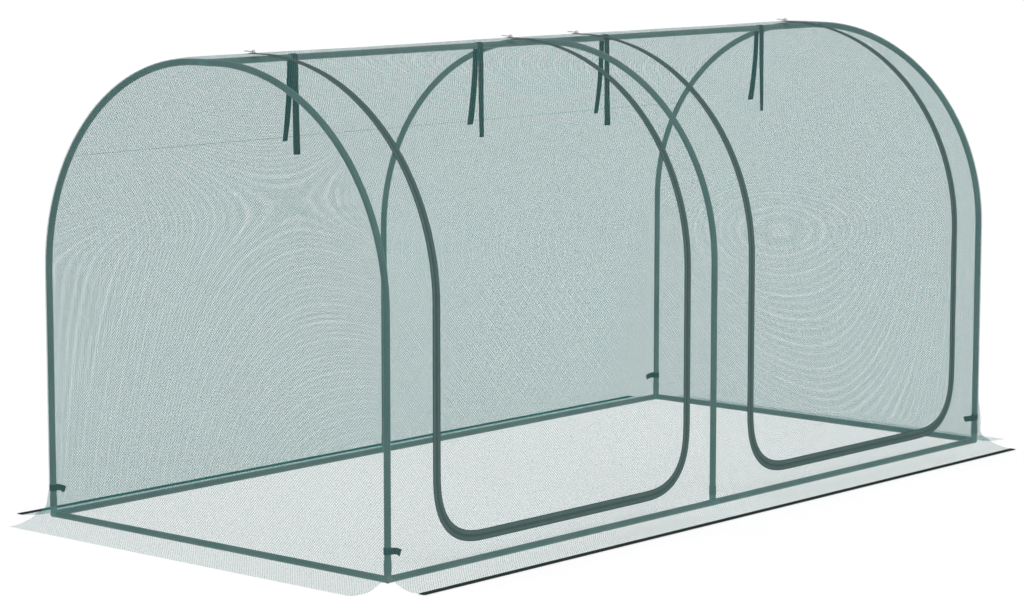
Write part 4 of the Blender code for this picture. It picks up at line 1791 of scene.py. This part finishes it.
@dataclass
class TieRibbons:
    """The four ribbons over the ridge tube that hold a rolled door, each with two tails."""

    finishes: Finishes
    size: CageSizes = CageSizes()
    places: tuple[float, ...] = (-0.912, -0.249, 0.252, 0.932)
    twists: tuple[float, ...] = (14.0, -10.0, 12.0, -16.0)
    width: float = 0.0195
    thickness: float = 0.0007
    front_tail: float = 0.240
    back_tail: float = 0.202
    front_lean: float = 0.003
    back_lean: float = 0.0195
    cup: float = 0.0005
    steps: int = 16
    wide_steps: int = 6

    def path(self) -> list[Flat]:
        """The ribbon's middle line, y and z round the ridge tube's middle.

        Returns:
            Its points, from the front tail's end over the tube to the back tail's end.
        """
        top = self.size.tube / 2
        around = top + self.thickness
        shares = spread(0.0, 1.0, self.steps)
        line = [(-around - self.front_lean * (1 - share) ** 2, top + self.front_tail * (share - 1))
                for share in shares[:-1]]
        line += [(-around * cos(turn), around * sin(turn)) for turn in spread(0.0, pi, self.steps)]
        return line + [(around + self.back_lean * share ** 2, -self.back_tail * share + top * (1 - share))
                       for share in shares[1:]]

    def build(self) -> None:
        """Builds the ribbons, cupped a little across their width and turning slightly as they hang."""
        line = self.path()
        along = runs(line)
        for number, (x, twist) in enumerate(zip(self.places, self.twists)):
            rows = []
            for (y, z), run in zip(line, along):
                hang = max(0.0, -z) / self.front_tail
                turn = radians(twist) * hang ** 2
                lean = sin(turn) * (1 if y > 0 else -1)
                row = []
                for share in spread(-1.0, 1.0, self.wide_steps):
                    off = share * self.width / 2
                    cup = self.cup * share ** 2 * hang
                    point = self.size.world(x + off * cos(turn), y + off * lean - cup,
                                            self.size.ridge_z + z)
                    row.append((point, (off, run)))
                rows.append(row)
            mesh = ClothMesh(f"ridge_ribbon_{number + 1}", (self.finishes.ribbon,))
            mesh.strip(rows)
            piece = mesh.finish(self.thickness)
            report(piece, "cage", f"tie_ribbon_{number + 1}", slot="dark_tape")


@dataclass
class CornerTies:
    """The short ties that hold the cover to the corner legs just above the ground.

    A tail ends front_off or far_back_off outside the middle of its leg. The near back one stays right
    outside the leg.
    """

    finishes: Finishes
    size: CageSizes = CageSizes()
    height: float = 0.075
    width: float = 0.0155
    thickness: float = 0.0010
    play: float = 0.0009
    tail: float = 0.046
    near_droop: float = 0.0125
    far_droop: float = 0.002
    slant: float = 0.008
    front_off: float = -0.0035
    far_back_off: float = 0.0
    lean_start: float = 0.4
    wrap: Flat = (150.0, 450.0)
    wrap_steps: int = 30
    tail_steps: int = 10
    wide_steps: int = 4

    def path(self, end: End, side: Side) -> list[tuple[float, float, float]]:
        """A tie's middle line, measured from its leg's middle: outward along x and y, and up.

        Args:
            end: The leg's end.
            side: The leg's side.

        Returns:
            Its points, round the leg and out to the tail's end.
        """
        around = self.size.tube / 2 + self.play
        line = [(around * cos(turn), around * sin(turn), 0.0)
                for turn in spread(radians(self.wrap[0]), radians(self.wrap[1]), self.wrap_steps)]
        droop = self.near_droop if end is End.NEAR else self.far_droop
        off = around if end is End.NEAR else self.far_back_off
        if side is Side.FRONT:
            off = self.front_off
        for share in spread(0.0, 1.0, self.tail_steps)[1:]:
            lean = smooth(share * (1 + self.lean_start) - self.lean_start)
            line.append((-self.tail * share, around + (off - around) * lean, -droop * share ** 2))
        return line

    def tie(self, end: End, side: Side) -> None:
        """Builds a tie, a turn round its leg and a slantwise cut tail.

        Args:
            end: The leg's end.
            side: The leg's side.
        """
        word = f"{end.name.lower()}_{side.name.lower()}"
        line = self.path(end, side)
        along = runs([point[:2] for point in line])
        rows = []
        for (x, y, z), run in zip(line, along):
            free = max(0.0, -x) / self.tail
            row = []
            for share in spread(-0.5, 0.5, self.wide_steps):
                cut = self.slant * share * free ** 4
                point = self.size.world(end.value * (self.size.bay + x - cut),
                                        side.value * (self.size.half_width + y),
                                        self.height + z + share * self.width)
                row.append((point, (share * self.width, run)))
            rows.append(row)
        mesh = ClothMesh(word + "_leg_tie", (self.finishes.ribbon,))
        mesh.strip(rows)
        piece = mesh.finish(self.thickness)
        leg = f"{end.name.lower()}_hoop_{side.name.lower()}_half_coated"
        report(piece, "cage", word + "_corner_tie", slot="dark_tape")

    def build(self) -> None:
        """Builds the four ties."""
        for end in End:
            for side in Side:
                self.tie(end, side)


@dataclass
class ZipHardware:
    """The four zip sliders and their pull tabs, cast, with the slider's bridge over the tab's eye.

    The plate's section rises from its lower edge to its crown, in shares of its half width and its height.
    A face, a floor and a rib are shares of the tab's thickness, either way from its middle.
    """

    finishes: Finishes
    plans: Sequence[DoorPlan]
    size: CageSizes = CageSizes()
    seat: float = 0.0036
    length: float = 0.0125
    width: float = 0.0095
    height: float = 0.0022
    section: tuple[Flat, ...] = ((1.0, 0.0), (1.0, 0.62), (0.90, 0.88), (0.72, 0.97), (0.42, 0.90))
    plate_steps: int = 18
    end_drop: float = 0.16
    taper: float = 0.30
    blunt: float = 0.45
    bridge_span: float = 0.0088
    bridge_rise: float = 0.0072
    bridge_bend: float = 0.0028
    bridge_neck: float = 0.0006
    bridge_crown: float = 0.0001
    bridge_wire: float = 0.0016
    bridge_flatness: float = 1.15
    foot_spread: float = 0.45
    foot_run: float = 0.0020
    spokes: int = 12
    axle: float = 0.0036
    drop: float = -1.5
    tab_length: float = 0.030
    tab_width: float = 0.0080
    tab_thickness: float = 0.0015
    tab_corner: float = 0.0022
    tab_rounding: float = 0.00012
    rim: float = 0.0016
    eye: float = 0.0095
    eye_corner: float = 0.0007
    grip_side: float = 0.0012
    grip_gap: float = 0.0016
    grip_foot: float = 0.0013
    grip_corner: float = 0.0014
    floor_lap: float = 0.0001
    face_share: float = 0.5
    floor_share: float = 0.22
    ribs: int = 5
    rib_start: float = 0.0047
    rib_pitch: float = 0.0022
    rib_side: float = 0.0024
    rib_half: float = 0.0004
    rib_corner: float = 0.0002
    rib_share: float = 0.40
    crease: float = 40.0
    weld: float = 0.000005

    def half_width(self, share: float) -> float:
        """Half the slider's width.

        Args:
            share: The place along it, from its nose at -1 over the shoulders to its tail at 1.

        Returns:
            Half the width there.
        """
        shoulder = 1.0 - self.taper * max(0.0, share - 0.1) ** 1.3
        end = sqrt(max(0.0, 1.0 - abs(share) ** 5))
        return self.width / 2 * shoulder * (self.blunt + (1 - self.blunt) * end)

    def loft(self, shell: bmesh.types.BMesh, rings: Sequence[list[bmesh.types.BMVert]]) -> None:
        """Joins rings into a closed skin.

        Args:
            shell: The mesh it is added to.
            rings: Rings of the same number of corners.
        """
        for ring, following in zip(rings, rings[1:]):
            beside = ring[1:] + ring[:1]
            for quad in zip(ring, following, following[1:] + following[:1], beside):
                shell.faces.new(quad)
        shell.faces.new(rings[0])
        shell.faces.new(rings[-1][::-1])

    def plate(self, shell: bmesh.types.BMesh, seat: Vector) -> None:
        """The slider's plate: crowned, thinner towards its rolled edges.

        Args:
            shell: The mesh it is added to.
            seat: The middle of the plate's underside.
        """
        section = [(-out, up) for out, up in self.section] + [(0.0, 1.0), *self.section[::-1]]
        rings = []
        for share in spread(-1.0, 1.0, self.plate_steps):
            half = self.half_width(share)
            y = seat.y + share * self.length / 2
            crown = self.height * (1 - self.end_drop * share ** 4)
            rings.append([shell.verts.new((seat.x + out * half, y, seat.z + up * crown))
                          for out, up in section])
        self.loft(shell, rings)

    def wire(self, shell: bmesh.types.BMesh, path: Sequence[Vector], thick: Sequence[float]) -> None:
        """A cast bar along a path in the slider's upright middle plane.

        Args:
            shell: The mesh it is added to.
            path: The bar's middle line.
            thick: Its thickness at each point of the path.
        """
        turns = spread(0.0, 2 * pi, self.spokes)[:-1]
        rings = []
        for step, (point, depth) in enumerate(zip(path, thick)):
            heading = (path[min(step + 1, len(path) - 1)] - path[max(step - 1, 0)]).normalized()
            outward = heading.cross(Vector((1, 0, 0)))
            around = [Vector((self.bridge_flatness * cos(turn), 0, 0)) + outward * sin(turn)
                      for turn in turns]
            rings.append([shell.verts.new(point + spoke * depth / 2) for spoke in around])
        self.loft(shell, rings[::-1])

    def piece(self, name: str, shell: bmesh.types.BMesh, edge: float) -> bpy.types.Object:
        """Makes a cast piece of a mesh, with rounded edges.

        Args:
            name: The piece's name.
            shell: The mesh, which is freed.
            edge: How far its edges are rounded, or 0.

        Returns:
            The piece.
        """
        bmesh.ops.recalc_face_normals(shell, faces=shell.faces)
        mesh = bpy.data.meshes.new(name)
        shell.to_mesh(mesh)
        shell.free()
        mesh.materials.append(self.finishes.metal)
        mesh.shade_smooth()
        mesh.set_sharp_from_angle(angle=radians(self.crease))
        piece = bpy.data.objects.new(name, mesh)
        bpy.context.scene.collection.objects.link(piece)
        if edge:
            bevel = piece.modifiers.new("rounding", "BEVEL")
            bevel.width = edge
            bevel.segments = 2
            bevel.limit_method = "ANGLE"
            bevel.angle_limit = radians(self.crease)
        return piece

    def slider(self, number: int, seat: Vector) -> None:
        """A slider: its plate, and the bridge with feet that spread into it.

        Args:
            number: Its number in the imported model.
            seat: The middle of its underside.
        """
        shell = bmesh.new()
        self.plate(shell, seat)
        foot, top, bend, sunk = self.bridge_span / 2, self.bridge_rise, self.bridge_bend, self.height / 2
        half = [(foot, sunk), (foot, self.height + self.bridge_neck)]
        half += [(foot - bend * (1 - cos(turn)), top - bend * (1 - sin(turn)))
                 for turn in spread(0.0, pi / 2, 6)]
        outline = [(-y, z) for y, z in half] + [(0.0, top + self.bridge_crown)] + half[::-1]
        thick = [self.bridge_wire * (1.0 + self.foot_spread * max(0.0, 1 - (z - sunk) / self.foot_run))
                 for _, z in outline]
        self.wire(shell, [seat + Vector((0, y, z)) for y, z in outline], thick)
        report(self.piece(f"zip_slider_{number}_cast", shell, 0.0), f"zip_slider_{number}",
               f"zip_slider_{number}", slot="zip_metal")

    def tab(self, number: int, seat: Vector) -> None:
        """A pull tab: a plate with a square eye, a sunk grip with ribs, and a raised edge round it.

        Args:
            number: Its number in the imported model.
            seat: The middle of its slider's underside.
        """
        half, far = self.tab_width / 2, self.tab_length - self.rim / 2
        eye_end = self.rim / 2 + self.eye
        outer = self.outline(half, -self.rim / 2, far, self.tab_corner)
        eye = self.outline(half - self.rim, self.rim / 2, eye_end, self.eye_corner)
        grip, floor = (self.outline(half - self.grip_side + lap, eye_end + self.grip_gap - lap,
                                    far - self.grip_foot + lap, self.grip_corner + lap)
                       for lap in (0.0, self.floor_lap))
        layers = [((outer, eye, grip), self.face_share), ((floor,), self.floor_share)]
        for rib in range(self.ribs):
            middle = eye_end + self.rib_start + rib * self.rib_pitch
            bar = self.outline(half - self.rib_side, middle - self.rib_half, middle + self.rib_half,
                               self.rib_corner)
            layers.append(((bar,), self.rib_share))
        shell = bmesh.new()
        for loops, share in layers:
            self.slab(shell, loops, share * self.tab_thickness)
        turn = (Matrix.Translation(seat + Vector((0, 0, self.axle)))
                @ Matrix.Rotation(-radians(self.drop), 4, "X"))
        bmesh.ops.transform(shell, matrix=turn, verts=shell.verts)
        report(self.piece(f"pull_tab_{number}_cast", shell, self.tab_rounding), f"pull_tab_{number}",
               f"pull_tab_{number}", slot="zip_metal")

    def outline(self, half: float, near: float, far: float, corner: float) -> list[Flat]:
        """A rounded oblong.

        Args:
            half: Half its width.
            near: Where it starts along the tab.
            far: Where it ends.
            corner: The radius of its corners.

        Returns:
            Its points, counterclockwise.
        """
        corner = min(corner, half * 0.98, (far - near) * 0.49)
        points = []
        for x, y, start in ((half, near, -90), (half, far, 0), (-half, far, 90), (-half, near, 180)):
            across = x - corner if x > 0 else x + corner
            along = y + corner if y == near else y - corner
            points += [(across + corner * cos(turn), along + corner * sin(turn))
                       for turn in spread(radians(start), radians(start + 90), 6)]
        return points

    def slab(self, shell: bmesh.types.BMesh, loops: Sequence[Sequence[Flat]], rise: float) -> None:
        """A flat plate round the tab's middle plane, with openings.

        Args:
            shell: The mesh it is added to.
            loops: Its outline, and then its openings.
            rise: How far it stands out either way.
        """
        for height in (-rise, rise):
            edges = []
            for loop in loops:
                verts = [shell.verts.new((x, y, height)) for x, y in loop]
                edges += [shell.edges.new(pair) for pair in zip(verts, verts[1:] + verts[:1])]
            bmesh.ops.triangle_fill(shell, edges=edges, use_beauty=True)
        for loop in loops:
            lower, upper = ([shell.verts.new((x, y, height)) for x, y in loop] for height in (-rise, rise))
            for quad in zip(lower, lower[1:] + lower[:1], upper[1:] + upper[:1], upper):
                shell.faces.new(quad)
        bmesh.ops.remove_doubles(shell, verts=shell.verts, dist=self.weld)

    def build(self) -> None:
        """Builds the hardware, near door first."""
        number = 0
        for plan in self.plans:
            for hand in (-1, 1):
                number += 1
                x = plan.middle + hand * self.size.door_width / 2
                seat = self.size.world(x, 0.0, self.size.ridge_z + self.size.standoff + self.seat)
                self.slider(number, seat)
                self.tab(number, seat)


@dataclass
class Studio:
    """Camera at the photograph's angle, pale floor and soft light."""

    place: Vector = field(default_factory=lambda: Vector((-6.3998, -5.5006, 1.611)))
    azimuth: float = -48.7784
    elevation: float = 7.7833
    roll: float = 0.022
    lens: float = 114.73
    sensor: float = 36.0
    clips: Flat = (0.05, 300.0)
    floor_half: float = 120.0
    floor_drop: float = 0.0006
    sky: float = 0.98
    sun: float = 0.6
    sun_angle: float = 40.0
    sun_way: tuple[float, float, float] = (0.35, 1.0, -1.0)

    def camera(self) -> None:
        """Builds the camera and looks through it."""
        scene = bpy.context.scene
        data = bpy.data.cameras.new("photo_camera")
        data.lens = self.lens
        data.sensor_width = self.sensor
        data.clip_start, data.clip_end = self.clips
        camera = bpy.data.objects.new("photo_camera", data)
        turn = radians(self.azimuth)
        tilt = radians(self.elevation)
        forward = Vector((-sin(turn) * cos(tilt), cos(turn) * cos(tilt), -sin(tilt)))
        right = Vector((cos(turn), sin(turn), 0.0))
        up = right.cross(forward)
        basis = Matrix((right, up, -forward)).transposed()
        camera.matrix_world = (Matrix.Translation(self.place) @ basis.to_4x4()
                               @ Matrix.Rotation(radians(self.roll), 4, "Z"))
        scene.collection.objects.link(camera)
        scene.camera = camera

    def floor(self) -> None:
        """Builds the floor, just beneath the cage."""
        floor = bpy.data.meshes.new("studio_floor")
        work = bmesh.new()
        bmesh.ops.create_grid(work, x_segments=8, y_segments=8, size=self.floor_half)
        work.to_mesh(floor)
        work.free()
        floor.materials.append(PaleFloor().make())
        ground = bpy.data.objects.new("studio_floor", floor)
        ground.location = (0.0, 0.0, -self.floor_drop)
        bpy.context.scene.collection.objects.link(ground)

    def light(self) -> None:
        """Builds the white surroundings and one soft light."""
        scene = bpy.context.scene
        world = bpy.data.worlds.new("studio")
        world.use_nodes = True
        background = world.node_tree.nodes["Background"]
        background.inputs["Color"].default_value = (1.0, 1.0, 1.0, 1.0)
        background.inputs["Strength"].default_value = self.sky
        scene.world = world
        scene.view_settings.view_transform = "Standard"
        key = bpy.data.lights.new("soft_key", "SUN")
        key.energy = self.sun
        key.angle = radians(self.sun_angle)
        lamp = bpy.data.objects.new("soft_key", key)
        lamp.rotation_euler = Vector(self.sun_way).to_track_quat("-Z", "Y").to_euler()
        scene.collection.objects.link(lamp)

    def build(self) -> None:
        """Builds the camera, the floor and the light."""
        self.camera()
        self.floor()
        self.light()


def main() -> None:
    """Builds every sub-assembly in order."""
    logging.basicConfig(level=logging.INFO, format="%(message)s")
    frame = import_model()
    Studio().build()
    finishes = Finishes.make()
    plans = [DoorPlan(door) for door in Door]
    zips = ZipTape(finishes)
    TubeFrame(finishes, frame["nodes"]).build()
    NetCover(finishes, plans).build()
    HemTape(finishes).build()
    for plan in plans:
        zips.fixed(plan)
        ZipDoor(finishes, plan, zips).build()
    TieRibbons(finishes).build()
    CornerTies(finishes).build()
    ZipHardware(finishes, plans).build()


if __name__ == "__main__":
    main()
